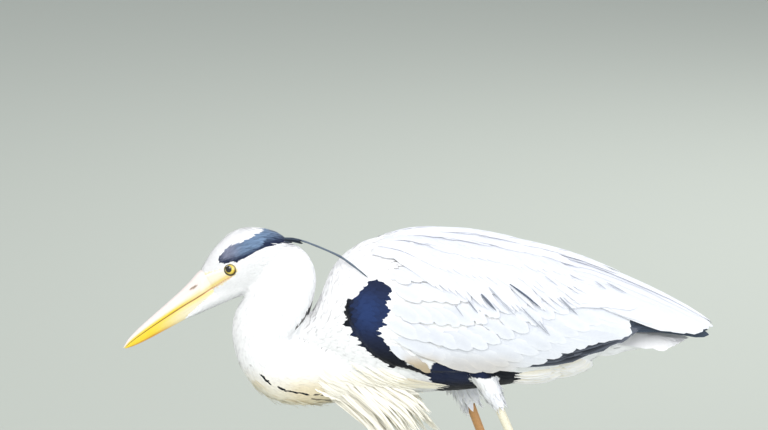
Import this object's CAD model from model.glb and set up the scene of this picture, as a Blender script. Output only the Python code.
# Adult grey heron as a life-size museum model, standing in a forward crouch with its neck folded.
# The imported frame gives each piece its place. Lengths are millimetres until a mesh is made, and then metres.
# The bill points to -X, the bird's left side is at -Y, and the soles stand on Z = 0.
import itertools
import math

import bpy
import numpy as np
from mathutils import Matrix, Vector
from mathutils.bvhtree import BVHTree
from mathutils.kdtree import KDTree


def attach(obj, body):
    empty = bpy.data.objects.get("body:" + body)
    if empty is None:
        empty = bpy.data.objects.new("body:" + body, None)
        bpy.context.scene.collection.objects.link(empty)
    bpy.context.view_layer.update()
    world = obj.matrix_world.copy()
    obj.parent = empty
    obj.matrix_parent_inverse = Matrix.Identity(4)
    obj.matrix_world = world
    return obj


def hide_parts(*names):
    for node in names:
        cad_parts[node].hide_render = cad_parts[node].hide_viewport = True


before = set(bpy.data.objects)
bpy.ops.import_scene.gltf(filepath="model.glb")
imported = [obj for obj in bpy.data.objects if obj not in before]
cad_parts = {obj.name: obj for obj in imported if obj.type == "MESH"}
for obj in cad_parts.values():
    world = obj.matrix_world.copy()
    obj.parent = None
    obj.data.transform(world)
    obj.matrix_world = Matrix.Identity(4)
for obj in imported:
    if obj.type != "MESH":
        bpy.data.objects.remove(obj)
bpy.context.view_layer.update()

# ---------- Flesh and skin ----------
# A mounted heron is a tanned skin drawn over a carved body. Trunk, folded neck, head, chin, shoulders and
# thighs are shaped one by one from oval sections, then grown together into one skin with soft joins. It lies
# under the tips of the coat by the coat's depth.
MM = 0.001  # a millimetre in metres
SIDES = {"left": -1, "right": 1}

# Trunk: [x, top, bottom, half width]
TRUNK = [
    (-149, 361, 352, 4),
    (-140, 371, 342, 15),
    (-129, 384, 331, 25),
    (-119, 402, 322, 32),
    (-105, 436, 309, 40),
    (-88, 457, 298, 47),
    (-55, 475, 288, 54),
    (-15, 480, 284, 58),
    (40, 477, 286, 59),
    (95, 470, 292, 57),
    (145, 459, 300, 50),
    (185, 445, 311, 40),
    (215, 427, 326, 28),
    (238, 403, 343, 15),
    (247, 380, 364, 4),
]
# Bed of the folded wings, which runs on behind the trunk as the wings' own roof
WING_BED = [
    (-105, 436, 309, 40.5),
    (-88, 457, 298, 47.5),
    (-55, 475, 286, 54.6),
    (-15, 480.5, 281, 59),
    (40, 477.5, 281, 60.5),
    (95, 471, 285, 60),
    (145, 461, 292, 57),
    (190, 448, 302, 51.5),
    (240, 427, 322, 43),
    (290, 403, 335, 32),
    (330, 381, 341, 21),
    (356, 364, 347, 10),
]
# Neck from the head down to the breast: [nape x, nape z, throat x, throat z, half width]
NECK = [
    (-160, 468, -204, 412, 22),
    (-143, 464, -209, 403, 26),
    (-128, 447, -213, 396, 29),
    (-122.5, 424, -218, 387, 30),
    (-125, 404, -222, 376, 30),
    (-130, 386, -224, 361, 29.5),
    (-138, 371, -222, 342, 29),
    (-147, 361, -215, 318, 29),
    (-147.5, 356, -200, 294, 29.5),
    (-143, 353, -178, 277, 31),
    (-134, 356, -150, 270, 33),
    (-118, 364, -118, 271, 36),
    (-96, 374, -92, 276, 37),
    (-76, 384, -62, 292, 36),
]
# Head from the nape to the edge of the feathers: [crown x, crown z, jaw x, jaw z, half width]
HEAD = [
    (-159, 474.5, -163, 448, 12),
    (-173, 483, -172, 434, 21),
    (-188, 487, -182, 425, 24),
    (-204, 488, -190, 417, 25),
    (-221, 484, -197, 411, 24),
    (-234, 475, -203, 407, 22.5),
    (-248, 460, -211, 403.5, 19.5),
    (-255.5, 447.5, -223.3, 399, 15.5),
    (-261.5, 436.8, -233.3, 394.3, 12),
]
# Feathered chin under the bill, in the head's frame: [s, top, bottom, half width]
CHIN = [
    (4, -12, -37, 17),
    (35, -7, -32.6, 12.2),
    (50, -10, -30, 11),
    (63, -14, -27.8, 9.8),
    (75, -17.5, -25.6, 8.4),
    (84, -20, -24, 5),
]
# Part of the bed that the folded wing covers: [x, lowest turn, highest turn], in degrees above the side
WING_REGION = [
    (-88, 14, 21),
    (-82, 2, 26),
    (-72, -10, 28),
    (-55, -23, 31),
    (-30, -33, 45),
    (0, -38, 56),
    (40, -39, 62),
    (110, -35, 66),
    (165, -27, 68),
    (206, -21, 70),
    (250, -11, 72),
    (290, -4, 74),
    (354, 0, 74),
]
# Swell of the folded arm under the wing's front: [x, height above the bed]
ARM = [(-88, 1), (-82, 3.4), (-72, 4.4), (-55, 4.6), (-30, 3.8), (0, 2), (40, 1.3), (105, 1.2), (150, 1.2)]
ARM_ENDS = (-86, 150)
ARM_EDGE = 2  # degrees from the lower edge of the wing up to that of the arm
# Mantle over the back: [x, height of its coat over the bed, degrees from the wing's upper edge to its own]
MANTLE = [
    (-66, 0, 46),
    (-50, 1, 32),
    (-30, 3.4, 16),
    (-5, 6, 8),
    (25, 6.8, 5),
    (60, 6.6, 5),
    (100, 5, 5),
    (136, 1, 5),
]
MANTLE_ENDS = (-64, 134)
MANTLE_DEPTH = 3.0
RIDGE_TURN = 90
PAD_FLOOR = -14  # underside of arm and mantle, sunk in the trunk
# Joints of each leg: [x, distance from the middle, z]
LEGS = {
    "left": {"hip": (60, 33, 345), "knee": (103, 38, 268), "ankle": (151, 41, 150), "foot": (78, 44, 0)},
    "right": {"hip": (30, 33, 345), "knee": (65, 38, 260), "ankle": (105, 41, 150), "foot": (48, 44, 0)},
}
# Radii evenly down each thigh, and how much of the way from hip to knee it takes up
THIGH_RADII = {"left": (16, 15, 14, 12, 9.5, 6.4), "right": (20, 20, 19, 17, 14, 9)}
THIGH_REACH = {"left": 0.86, "right": 0.98}
TAIL_ROOT = (232, 0, 347)
TAIL_ROOT_RADII = (24, 20, 9)
# The head's own frame stands at the eyes, tilted with the bill
EYE = np.array((-224.0, 0.0, 440.0))
BILL_SLOPE = math.radians(33.5)
BILLWARD = np.array((-math.cos(BILL_SLOPE), 0, -math.sin(BILL_SLOPE)))
CROWNWARD = np.array((-math.sin(BILL_SLOPE), 0, math.cos(BILL_SLOPE)))
SKIN_DEPTH = {"trunk": 2.0, "neck": 0.6, "head": 1.1, "chin": 1.0}
# Rings of each form and sides of each ring, before the forms grow together
FORMS = {
    "trunk": (60, 48), "neck": (60, 40), "head": (40, 40), "chin": (22, 24),
    "arm": (34, 14), "mantle": (28, 14), "tail": (12, 24), "thigh": (16, 24),
}
TRUNK_ENDS = (-146, 244)
BALL_END = 88  # degrees from a ball's middle to its last ring, short of the pole
VOXEL = 2.0
SOFT_ROUNDS = 8
SEAM_ANGLE = math.radians(66)
ISLAND_GAP = 0.002


def through(stations):
    """Values that run smoothly through rows [x, a, b, ...] with no overshoot."""
    rows = np.array(stations, float)
    xs, values = rows[:, 0], rows[:, 1:]
    rates = np.diff(values, axis=0) / np.diff(xs)[:, None]
    product = rates[:-1] * rates[1:]
    total = np.where(product > 0, rates[:-1] + rates[1:], 1)
    slopes = np.vstack([rates[:1], np.where(product > 0, 2 * product / total, 0), rates[-1:]])

    def at(x):
        x = np.clip(np.asarray(x, float), xs[0], xs[-1])
        i = np.clip(np.searchsorted(xs, x, side="right") - 1, 0, len(xs) - 2)
        span = (xs[i + 1] - xs[i])[..., None]
        u = (x - xs[i])[..., None] / span
        return (
            (2 * u**3 - 3 * u**2 + 1) * values[i]
            + (u**3 - 2 * u**2 + u) * span * slopes[i]
            + (3 * u**2 - 2 * u**3) * values[i + 1]
            + (u**3 - u**2) * span * slopes[i + 1]
        )

    return at


def curve(rows, shares):
    """Rows at shares of the way along a smooth curve through a few rows."""
    rows = np.array(rows, float)
    ends = np.vstack([2 * rows[0] - rows[1], rows, 2 * rows[-1] - rows[-2]])
    place = np.clip(np.asarray(shares, float), 0, 1) * (len(rows) - 1)
    i = np.minimum(place.astype(int), len(rows) - 2)
    u = (place - i)[:, None]
    a, b, c, d = (ends[i + k] for k in range(4))
    return 0.5 * (2 * b + (c - a) * u + (2 * a - 5 * b + 4 * c - d) * u**2 + (3 * b - a - 3 * c + d) * u**3)


def unit(vectors):
    return vectors / np.maximum(np.linalg.norm(vectors, axis=-1, keepdims=True), 1e-9)


def oval_steps(form, side, x, turn):
    """Points of an oval body, its steps for a millimetre along and a degree up round it, and its normal."""
    x, turn = np.broadcast_arrays(np.asarray(x, float), np.asarray(turn, float))

    def surface(px, degrees):
        top, bottom, half = np.moveaxis(form(px), -1, 0)
        rise, angle = (top - bottom) / 2, np.radians(degrees)
        return np.stack([px, side * half * np.cos(angle), bottom + rise + rise * np.sin(angle)], -1)

    along = surface(x + 0.5, turn) - surface(x - 0.5, turn)
    around = surface(x, turn + 0.5) - surface(x, turn - 0.5)
    return surface(x, turn), along, around, unit(np.cross(along, around) * -side)


def oval_point(form, side, x, turn, out=0.0):
    """A point of an oval body: turn in degrees up from the side, out in millimetres above the surface."""
    x, turn, out = np.broadcast_arrays(np.asarray(x, float), np.asarray(turn, float), np.asarray(out, float))
    point, _, _, normal = oval_steps(form, side, x, turn)
    return point + normal * out[..., None]


def ring_angles(sides):
    """Angles evenly round a ring."""
    return np.linspace(0, 2 * math.pi, sides, endpoint=False)


def pair_rings(stations, shares, sides, inset):
    """Oval rings between a back line and a front line, which lean with them."""
    rows = curve(stations, shares)
    middle = (rows[:, 0:2] + rows[:, 2:4]) / 2
    reach = rows[:, 0:2] - middle
    length = np.linalg.norm(reach, axis=1, keepdims=True)
    reach = reach * (length - inset) / length
    angle = ring_angles(sides)
    ring = np.empty((len(rows), sides, 3))
    ring[..., 0] = middle[:, 0:1] + reach[:, 0:1] * np.cos(angle)
    ring[..., 1] = (rows[:, 4:5] - inset) * np.sin(angle)
    ring[..., 2] = middle[:, 1:2] + reach[:, 1:2] * np.cos(angle)
    return ring


def tube_rings(line, radii, sides):
    """Round rings along a line of points, one radius for each."""
    line, radii = np.array(line, float), np.array(radii, float)
    run = unit(np.gradient(line, axis=0))
    across = unit(np.array((0, 1, 0)) - run * run[:, 1:2])
    up = np.cross(run, across)
    angle = ring_angles(sides)
    spoke = across[:, None] * np.cos(angle)[:, None] + up[:, None] * np.sin(angle)[:, None]
    return line[:, None] + spoke * radii[:, None, None]


def tube_walls(count, sides):
    """Triangles between the rings of a tube."""
    k = np.arange(sides)
    i = np.arange(count - 1)[:, None] * sides
    a, b = (i + k).ravel(), (i + np.roll(k, -1)).ravel()
    return np.vstack([np.column_stack([a, b, b + sides]), np.column_stack([a, b + sides, a + sides])])


def closed_tube(rings):
    """Points and triangles of a closed surface through rings."""
    count, sides = rings.shape[:2]
    points = np.vstack([rings.reshape(-1, 3), rings[0].mean(0), rings[-1].mean(0)])
    k = np.arange(sides)
    after = np.roll(k, -1)
    first, last, end = len(points) - 2, len(points) - 1, (count - 1) * sides
    triangles = np.vstack([
        tube_walls(count, sides),
        np.column_stack([np.full(sides, first), after, k]),
        np.column_stack([np.full(sides, last), end + k, end + after]),
    ])
    return points, triangles


def joined(shells):
    """Several (points, triangles) as one."""
    points, triangles, start = [], [], 0
    for shell_points, shell_triangles in shells:
        points.append(shell_points)
        triangles.append(shell_triangles + start)
        start += len(shell_points)
    return np.vstack(points), np.vstack(triangles)


def stain(mesh, colours):
    """Keeps a colour with each point of a mesh."""
    tint = mesh.color_attributes.new("tint", "FLOAT_COLOR", "POINT")
    rgba = np.column_stack([colours, np.ones(len(colours))])
    tint.data.foreach_set("color", rgba.astype(np.float32).ravel())


def piece(name, points, triangles, colours=None, normals=None, floats=None):
    """A smooth mesh object, faces outward, with what is known of each of its points."""
    mesh = bpy.data.meshes.new(name)
    a, b, c = np.moveaxis(np.asarray(points)[triangles], 1, 0)
    if (a * np.cross(b, c)).sum() < 0:
        triangles = triangles[:, ::-1]
    mesh.vertices.add(len(points))
    mesh.vertices.foreach_set("co", (np.asarray(points) * MM).astype(np.float32).ravel())
    mesh.loops.add(3 * len(triangles))
    mesh.loops.foreach_set("vertex_index", triangles.astype(np.int32).ravel())
    mesh.polygons.add(len(triangles))
    mesh.polygons.foreach_set("loop_start", np.arange(0, 3 * len(triangles), 3, dtype=np.int32))
    mesh.update(calc_edges=True)
    mesh.shade_smooth()
    if colours is not None:
        stain(mesh, colours)
    for key, values in (floats or {}).items():
        mesh.attributes.new(key, "FLOAT", "POINT").data.foreach_set("value", values.astype(np.float32))
    if normals is not None:
        mesh.normals_split_custom_set_from_vertices(unit(normals).tolist())
    made = bpy.data.objects.new(name, mesh)
    bpy.context.scene.collection.objects.link(made)
    return made


trunk_form = through(TRUNK)
bed_form = through(WING_BED)
wing_region = through(WING_REGION)
arm_form = through(ARM)
mantle_form = through(MANTLE)


def head_point(s, y, t):
    """A point in the head's frame: s from the eye towards the bill's tip, t up across the bill."""
    s, y, t = np.broadcast_arrays(np.asarray(s, float), y, t)
    return EYE + BILLWARD * s[..., None] + CROWNWARD * t[..., None] + np.array((0, 1, 0)) * y[..., None]


def trunk_shell():
    rings, sides = FORMS["trunk"]
    xs = np.linspace(*TRUNK_ENDS, rings)[:, None]
    turns = np.linspace(0, 360, sides, endpoint=False)[None]
    return closed_tube(oval_point(trunk_form, -1, xs, turns, -SKIN_DEPTH["trunk"]))


def crowned(share):
    """Height across a pad, from none at its edges to 1 in the middle."""
    return 1 - np.abs(2 * share - 1) ** 3


def bed_pad(name, side, band, ends):
    """A pad on the wing's bed, over a band of it."""
    rings, columns = FORMS[name]
    xs = np.linspace(*ends, rings)
    share = np.linspace(0, 1, columns)[None]
    xs, lows, highs, lifts = (values[:, None] for values in (xs, *band(xs)))
    turns = lows + (highs - lows) * share
    over = oval_point(bed_form, side, xs, turns, lifts * crowned(share))
    under = oval_point(bed_form, side, xs, turns, PAD_FLOOR)
    return closed_tube(np.concatenate([over, under[:, ::-1]], axis=1))


def arm_band(x):
    """Lowest and highest turn of the arm on the bed, and its height."""
    region = wing_region(x)
    return region[..., 0] + ARM_EDGE, region[..., 1], arm_form(x)[..., 0]


def mantle_band(x):
    """Lowest and highest turn of the mantle, from one side over the ridge to the other, and its height."""
    values = mantle_form(x)
    low = wing_region(x)[..., 1] + values[..., 1]
    return low, 2 * RIDGE_TURN - low, values[..., 0] - MANTLE_DEPTH


def pair_shell(name, stations):
    rings, sides = FORMS[name]
    return closed_tube(pair_rings(stations, np.linspace(0, 1, rings), sides, SKIN_DEPTH[name]))


def chin_shell():
    rings, sides = FORMS["chin"]
    s = np.linspace(CHIN[0][0], CHIN[-1][0], rings)[:, None]
    top, bottom, half = np.moveaxis(through(CHIN)(s[:, 0]), -1, 0)[..., None]
    angle = ring_angles(sides)[None]
    width, height = half - SKIN_DEPTH["chin"], (top - bottom) / 2 - SKIN_DEPTH["chin"]
    return closed_tube(head_point(s, width * np.sin(angle), (top + bottom) / 2 + height * np.cos(angle)))


def ball(centre, radii, rings, sides):
    """An oval ball in rings from its front to its rear."""
    turn = np.radians(np.linspace(-BALL_END, BALL_END, rings))[:, None]
    angle = ring_angles(sides)[None]
    x, reach = np.sin(turn) + 0 * angle, np.cos(turn)
    points = np.stack([x, reach * np.cos(angle), reach * np.sin(angle)], -1)
    return closed_tube(np.array(centre) + points * radii)


def thigh_line(name, count):
    """Points down the middle of a thigh."""
    side, leg = SIDES[name], LEGS[name]
    start, end = (np.array((leg[k][0], side * leg[k][1], leg[k][2])) for k in ("hip", "knee"))
    return start + (end - start) * np.linspace(0, THIGH_REACH[name], count)[:, None]


def thigh_radius(name, shares):
    """Radius of a thigh at shares of the way down it."""
    radii = THIGH_RADII[name]
    return np.interp(shares, np.linspace(0, 1, len(radii)), radii)


def thigh_shell(name):
    rings, sides = FORMS["thigh"]
    radii = thigh_radius(name, np.linspace(0, 1, rings))
    return closed_tube(tube_rings(thigh_line(name, rings), radii, sides))


def grown_together(shells, name, voxel, rounds):
    """One skin over all the shells, with soft joins, cut into triangles."""
    rough = piece(name, *joined(shells))
    remesh = rough.modifiers.new("remesh", "REMESH")
    remesh.mode = "VOXEL"
    remesh.voxel_size = voxel * MM
    soften = rough.modifiers.new("soften", "SMOOTH")
    soften.factor = 0.5
    soften.iterations = rounds
    rough.modifiers.new("triangles", "TRIANGULATE")
    made = bpy.data.meshes.new_from_object(rough.evaluated_get(bpy.context.evaluated_depsgraph_get()))
    rough.modifiers.clear()
    rough.data = made
    made.shade_smooth()
    return rough


skin = grown_together([
    trunk_shell(),
    pair_shell("neck", NECK),
    pair_shell("head", HEAD),
    chin_shell(),
    bed_pad("mantle", -1, mantle_band, MANTLE_ENDS),
    *(bed_pad("arm", side, arm_band, ARM_ENDS) for side in SIDES.values()),
    ball(TAIL_ROOT, TAIL_ROOT_RADII, *FORMS["tail"]),
    *(thigh_shell(name) for name in SIDES),
], "skin", VOXEL, SOFT_ROUNDS)
bpy.context.view_layer.objects.active = skin
skin.select_set(True)
bpy.ops.object.mode_set(mode="EDIT")
bpy.ops.mesh.select_all(action="SELECT")
bpy.ops.uv.smart_project(angle_limit=SEAM_ANGLE, island_margin=ISLAND_GAP)
bpy.ops.object.mode_set(mode="OBJECT")
skin.data.uv_layers[0].name = "OFBake"

# ---------- Markings ----------
# Breeding plumage: white face and neck, blue-black stripes from above the eyes to the nape, broken dark
# streaks down the foreneck, a black patch at the bend of the wing and another on the flank. The skin under
# the feathers is stained alike, so that no gap shows pale.

# Stripe of the head: its lower and its upper edge in [x, z], its ends, and the least height of its feathers
STRIPE_LOWER = (
    (-239, 447), (-214, 451.5), (-198, 459), (-184, 467.5), (-174, 470), (-164, 471), (-150, 473),
)
STRIPE_UPPER = (
    (-239, 455), (-225, 469), (-209, 474), (-199, 479.5), (-188, 482.5), (-184, 500), (-150, 500),
)
STRIPE_ENDS = (-239, -153)
STRIPE_FOOT = 440
# Streaks on the neck and the line of its fold: [x, z] of both ends, half width, share of the dark tint
STREAKS = (
    ((-203, 326), (-200, 322.5), 1.0, 0.35),
    ((-188, 311), (-178, 302), 1.3, 1),
    ((-167, 297.5), (-160, 293.5), 1.5, 1),
    ((-158, 293), (-132, 287.8), 0.8, 1),
    ((-124.5, 288.6), (-113, 286.9), 0.9, 0.9),
    ((-129, 281.5), (-107, 278.5), 0.8, 0.75),
    ((-146.5, 367.5), (-134.8, 381), 0.9, 0.85),
    ((-134.8, 381), (-127, 396), 1.5, 0.95),
)
# Outlines of the patches in [x, z], and how far out from the middle they begin
SHOULDER_PATCH = (
    (-57, 432), (-70, 420), (-86, 406), (-88, 383), (-73, 359), (-53, 339), (-30, 325), (-14, 333),
    (-13, 339), (-30, 351), (-44, 363), (-50, 377), (-37, 381), (-41, 389), (-33, 398), (-40, 406),
    (-32, 413), (-36, 428), (-45, 433),
)
UNDER_EDGE = ((-22, 334), (-12, 331), (20, 316.5), (20, 311), (-14, 326), (-24, 329))
FLANK_PATCH = (
    (12, 316), (18, 334), (60, 334), (90, 318), (84, 300), (68, 284), (44, 280), (26, 288), (15, 300),
)
REAR_WEDGE = ((86, 328), (128, 314), (116, 301), (88, 284))
SHOULDER_OUT = 22
FLANK_OUT = 3
# The thighs stay pale below this height and within this distance of their middle
THIGH_TOP = 313
THIGH_CLEAR = 16
# Bare skin: outline of the lores in the head's frame, and radius round the eye
LORE = ((4, -7), (5, 5), (14, 7.5), (26, 11), (37, 13.5), (44, 6), (44, -10), (22, -10), (8, -9))
EYE_BARE = 7.4
# Where one tint passes softly into another: [from, to] in x for front and rear, and in z for foot and top
CREAM_REAR = (-70, -20)
CREAM_TOP = (282, 330)
FOLD_FRONT = (-172, -136)
FOLD_REAR = (-108, -84)
FOLD_TOP = (292, 316)
PATCH_FRONT = (-86, -74)
PATCH_FOOT = (332, 372)
BLUE_FRONT = (-82, -66)
BLUE_REAR = (-56, -44)
BLUE_FOOT = (358, 394)
BLUE_TOP = (400, 432)
BLUE_LOSS = 0.5  # share of the blue that is lost to the rear
FLANK_FOOT = (296, 312)
FLANK_REAR = (76, 92)
STRIPE_FRONT = (-240, -230)
STRIPE_REAR = (-228, -205)
STRIPE_RISE = (0.06, 0.5)  # from [share of the stripe's height] navy to [share] its pale upper part
STREAK_INK = (0.7, 1)  # from [share of the tint] brown to [share] black


def paint(code):
    """A linear colour from its usual hex code."""
    srgb = np.array([int(code[i:i + 2], 16) / 255 for i in (1, 3, 5)])
    return np.where(srgb <= 0.04045, srgb / 12.92, ((srgb + 0.055) / 1.055) ** 2.4)


WHITE = paint("#f8f8fa")
CREAM = paint("#faf3e2")
BREAST_BEIGE = paint("#f3e5c6")
NAVY = paint("#1b2542")
SLATE = paint("#7189a8")
STRIPE_GREY = paint("#8489a0")
PATCH_BLUE = paint("#243969")
INK = paint("#0e121c")
STREAK_BROWN = paint("#3a3028")
YELLOW_SKIN = paint("#f3e9c8")


def step(low, high, values):
    """0 below low, 1 above high and smooth between."""
    u = np.clip((values - low) / (high - low), 0, 1)
    return u * u * (3 - 2 * u)


def fall(low, high, values):
    """1 below low, 0 above high and smooth between."""
    return step(-high, -low, -values)


def mixed(first, second, share):
    """Colours at a share of the way from the first to the second."""
    return first + (second - first) * np.asarray(share)[..., None]


def inside(outline, x, z):
    """Which points lie inside an outline."""
    corners = np.array(outline, float)
    within = np.zeros(np.shape(x), bool)
    for (x0, z0), (x1, z1) in zip(corners, np.roll(corners, -1, axis=0)):
        crosses = (z0 > z) != (z1 > z)
        reach = x0 + (z - z0) * (x1 - x0) / ((z1 - z0) or 1e-9)
        within ^= crosses & (x < reach)
    return within


def head_frame(points):
    """How far points lie from the eye, towards the bill's tip and up across the bill."""
    offset = points - EYE
    return offset @ BILLWARD, offset @ CROWNWARD


def stripe_share(points):
    """Height of a point in the head's stripe: 0 at its lower edge and 1 at its upper one."""
    x, z = points[:, 0], points[:, 2]
    low = np.interp(x, *zip(*STRIPE_LOWER))
    high = np.interp(x, *zip(*STRIPE_UPPER))
    front, rear = STRIPE_ENDS
    return np.where((x > front) & (x < rear) & (z > STRIPE_FOOT), (z - low) / (high - low), -1)


def streaks_at(points, reach=0.0):
    """Share of the dark tint that the streaks give to points, which may lie a reach away from them."""
    x, z = points[:, 0], points[:, 2]
    dark = np.zeros(len(points))
    for (x0, z0), (x1, z1), half, share in STREAKS:
        run = np.array((x1 - x0, z1 - z0))
        along = np.clip(((x - x0) * run[0] + (z - z0) * run[1]) / (run @ run), 0, 1)
        near = np.hypot(x - x0 - along * run[0], z - z0 - along * run[1]) < half + reach
        dark = np.where(near, np.maximum(dark, share), dark)
    return dark


def bare_face(points):
    """The lores and the rim of the eye, where no feathers grow."""
    s, t = head_frame(points)
    return inside(LORE, s, t) | (np.hypot(points[:, 0] - EYE[0], points[:, 2] - EYE[2]) < EYE_BARE)


def on_thigh(points):
    """Which points lie on the free part of a thigh."""
    found = np.zeros(len(points), bool)
    for name in SIDES:
        start, end = thigh_line(name, 2)
        run = unit(end - start)
        away = points - start
        away = away - (away @ run)[:, None] * run
        found |= (np.linalg.norm(away, axis=1) < THIGH_CLEAR) & (points[:, 2] < THIGH_TOP)
    return found


def shoulder_colour(x, z):
    """The shoulder patch: black along its front and foot, bluest in the middle."""
    ink = 1 - step(*PATCH_FRONT, x) * step(*PATCH_FOOT, z)
    blue = step(*BLUE_FOOT, z) * fall(*BLUE_TOP, z) * step(*BLUE_FRONT, x)
    blue = blue * (1 - BLUE_LOSS * step(*BLUE_REAR, x))
    return mixed(NAVY, PATCH_BLUE, blue) + (INK - NAVY) * ink[:, None] * (1 - blue)[:, None]


def marking(points):
    """The bird's colour at points of its surface."""
    x, z, out = points[:, 0], points[:, 2], np.abs(points[:, 1])
    colour = mixed(WHITE, CREAM, fall(*CREAM_TOP, z) * fall(*CREAM_REAR, x))
    colour = mixed(colour, BREAST_BEIGE, fall(*FOLD_TOP, z) * fall(*FOLD_REAR, x) * step(*FOLD_FRONT, x))
    shoulder = inside(SHOULDER_PATCH, x, z) & (out > SHOULDER_OUT)
    colour = np.where(shoulder[:, None], shoulder_colour(x, z), colour)
    under = inside(UNDER_EDGE, x, z) & (out > SHOULDER_OUT)
    colour = np.where(under[:, None], INK, colour)
    streak = streaks_at(points)
    colour = mixed(colour, mixed(STREAK_BROWN, INK, step(*STREAK_INK, streak)), streak)
    flank = (inside(FLANK_PATCH, x, z) | inside(REAR_WEDGE, x, z)) & (out > FLANK_OUT) & ~on_thigh(points)
    dark = np.maximum(fall(*FLANK_FOOT, z), step(*FLANK_REAR, x))
    colour = np.where(flank[:, None], mixed(NAVY, INK, dark), colour)
    share = stripe_share(points)
    top = mixed(SLATE, STRIPE_GREY, fall(*STRIPE_REAR, x))
    stripe = mixed(NAVY, top, step(*STRIPE_RISE, share) * step(*STRIPE_FRONT, x))
    return np.where(((share > 0) & (share < 1))[:, None], stripe, colour)


def new_finish(name, sockets):
    """A new finish, with values for its shader's sockets."""
    made = bpy.data.materials.new(name)
    made.use_nodes = True
    for key, value in sockets.items():
        made.node_tree.nodes["Principled BSDF"].inputs[key].default_value = value
    return made


def wired(made, kind, inputs, **settings):
    """A new node of a finish. Its inputs take values, or the outputs of other nodes."""
    node = made.node_tree.nodes.new(kind)
    for key, value in settings.items():
        setattr(node, key, value)
    for key, value in inputs.items():
        if isinstance(value, bpy.types.NodeSocket):
            made.node_tree.links.new(value, node.inputs[key])
        else:
            node.inputs[key].default_value = value
    return node


def shades(made, pattern, darkest, lightest, full=1.0):
    """A pattern brought between two shades, the lightest where it reaches its full value."""
    limits = {"Value": pattern, "From Max": full, "To Min": darkest, "To Max": lightest}
    return wired(made, "ShaderNodeMapRange", limits).outputs["Result"]


def tint_by(made, shade):
    """Colours a finish by its piece's own tint, in the given shades of it."""
    tint = wired(made, "ShaderNodeAttribute", {}, attribute_name="tint").outputs["Color"]
    scaled = wired(made, "ShaderNodeVectorMath", {0: tint, "Scale": shade}, operation="SCALE")
    base = made.node_tree.nodes["Principled BSDF"].inputs["Base Color"]
    made.node_tree.links.new(scaled.outputs["Vector"], base)


def raise_by(made, pattern, strength, height):
    """Raises a finish by a pattern, up to a height in millimetres."""
    bump = wired(made, "ShaderNodeBump", {"Strength": strength, "Distance": height * MM, "Height": pattern})
    normal = made.node_tree.nodes["Principled BSDF"].inputs["Normal"]
    made.node_tree.links.new(bump.outputs["Normal"], normal)


def feather_finish(name, roughness, barbs):
    """Keratin vanes: their own tint, a faint mottle, and fine barbs that run out from the shaft."""
    sheen = {"Sheen Weight": 0.15, "Sheen Roughness": 0.4, "Specular IOR Level": 0.25}
    made = new_finish(name, {"Roughness": roughness, **sheen})
    place = wired(made, "ShaderNodeTexCoord", {}).outputs["Object"]
    mottle = wired(made, "ShaderNodeTexNoise", {"Vector": place, "Scale": 260, "Detail": 3})
    tint_by(made, shades(made, mottle.outputs["Fac"], 0.95, 1.04))
    barb = wired(made, "ShaderNodeAttribute", {}, attribute_name="barb").outputs["Fac"]
    phase = wired(made, "ShaderNodeMath", {0: barb, 1: 2 * math.pi / barbs}, operation="MULTIPLY")
    wave = wired(made, "ShaderNodeMath", {0: phase.outputs["Value"]}, operation="SINE")
    raise_by(made, wave.outputs["Value"], 0.16, 0.15)
    return made


def finished(made, material, slot, *replaced):
    """Gives a piece its finish, sets it on the bird and hides the solids that it stands for."""
    made.data.materials.clear()
    made.data.materials.append(material)
    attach(made, "root")
    if replaced:
        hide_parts(*replaced)
    return made


def points_of(made):
    """A piece's points in millimetres."""
    flat = np.empty(3 * len(made.data.vertices), np.float32)
    made.data.vertices.foreach_get("co", flat)
    return flat.reshape(-1, 3).astype(float) / MM


skin_points = points_of(skin)
skin_tint = marking(skin_points)
skin_tint[bare_face(skin_points)] = YELLOW_SKIN
stain(skin.data, skin_tint)
down_finish = feather_finish("down", 0.9, 2.0)
SKIN_NODES = ("head", "neck_upper", "neck_lower", "torso", "left_thigh", "right_thigh")
finished(skin, down_finish, "white_feathers", *SKIN_NODES)

# ---------- Lie of the coat ----------
# Feathers grow in rows that sweep from the bill over the head, down the neck and back along the trunk, and
# down the thighs. Each form gives the sweep on its own surface, and the skin takes it from the nearest.
WING_DROOP = math.radians(24)
LEAST_DROOP = 0.35  # share of it that the back and the belly keep
DROOP_START = (-75, -45)
FLANK_START = (-30, 20)  # degrees above the side
SWEEP_ENDS = (-147, 243)
# Rings and sides on which each form gives its sweep, and the share of the neck that does
SWEEP_RINGS = {"trunk": (56, 48), "neck": (44, 26), "head": (26, 24), "thigh": (14, 16)}
NECK_SWEPT = 0.96
NEAR_SKIN = 9
GUIDES = 5  # how many of the nearest guides turn a feather
GUIDE_BLUR = 2


def sweep_of(rings, backwards=False):
    """Points of a form with the direction in which its rings follow one another."""
    run = unit(np.gradient(rings, axis=0))
    if backwards:
        run = -run
    return rings.reshape(-1, 3), run.reshape(-1, 3)


def trunk_sweep():
    """Points of the trunk with directions that run back along it and droop on its flanks."""
    rows, sides = SWEEP_RINGS["trunk"]
    xs = np.linspace(*SWEEP_ENDS, rows)[:, None]
    turns = np.linspace(0, 360, sides, endpoint=False)[None]
    rings = oval_point(trunk_form, -1, xs, turns)
    run = unit(np.gradient(rings, axis=0))
    angle = np.radians(turns)
    up = unit(np.gradient(rings, axis=1)) * np.sign(np.cos(angle))[..., None]
    flank = np.abs(np.cos(angle)) ** 0.5 * step(*FLANK_START, np.degrees(np.arcsin(np.sin(angle))))
    droop = WING_DROOP * (LEAST_DROOP + (1 - LEAST_DROOP) * flank) * step(*DROOP_START, xs)
    run = run * np.cos(droop)[..., None] - up * np.sin(droop)[..., None]
    return rings.reshape(-1, 3), unit(run).reshape(-1, 3)


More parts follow.
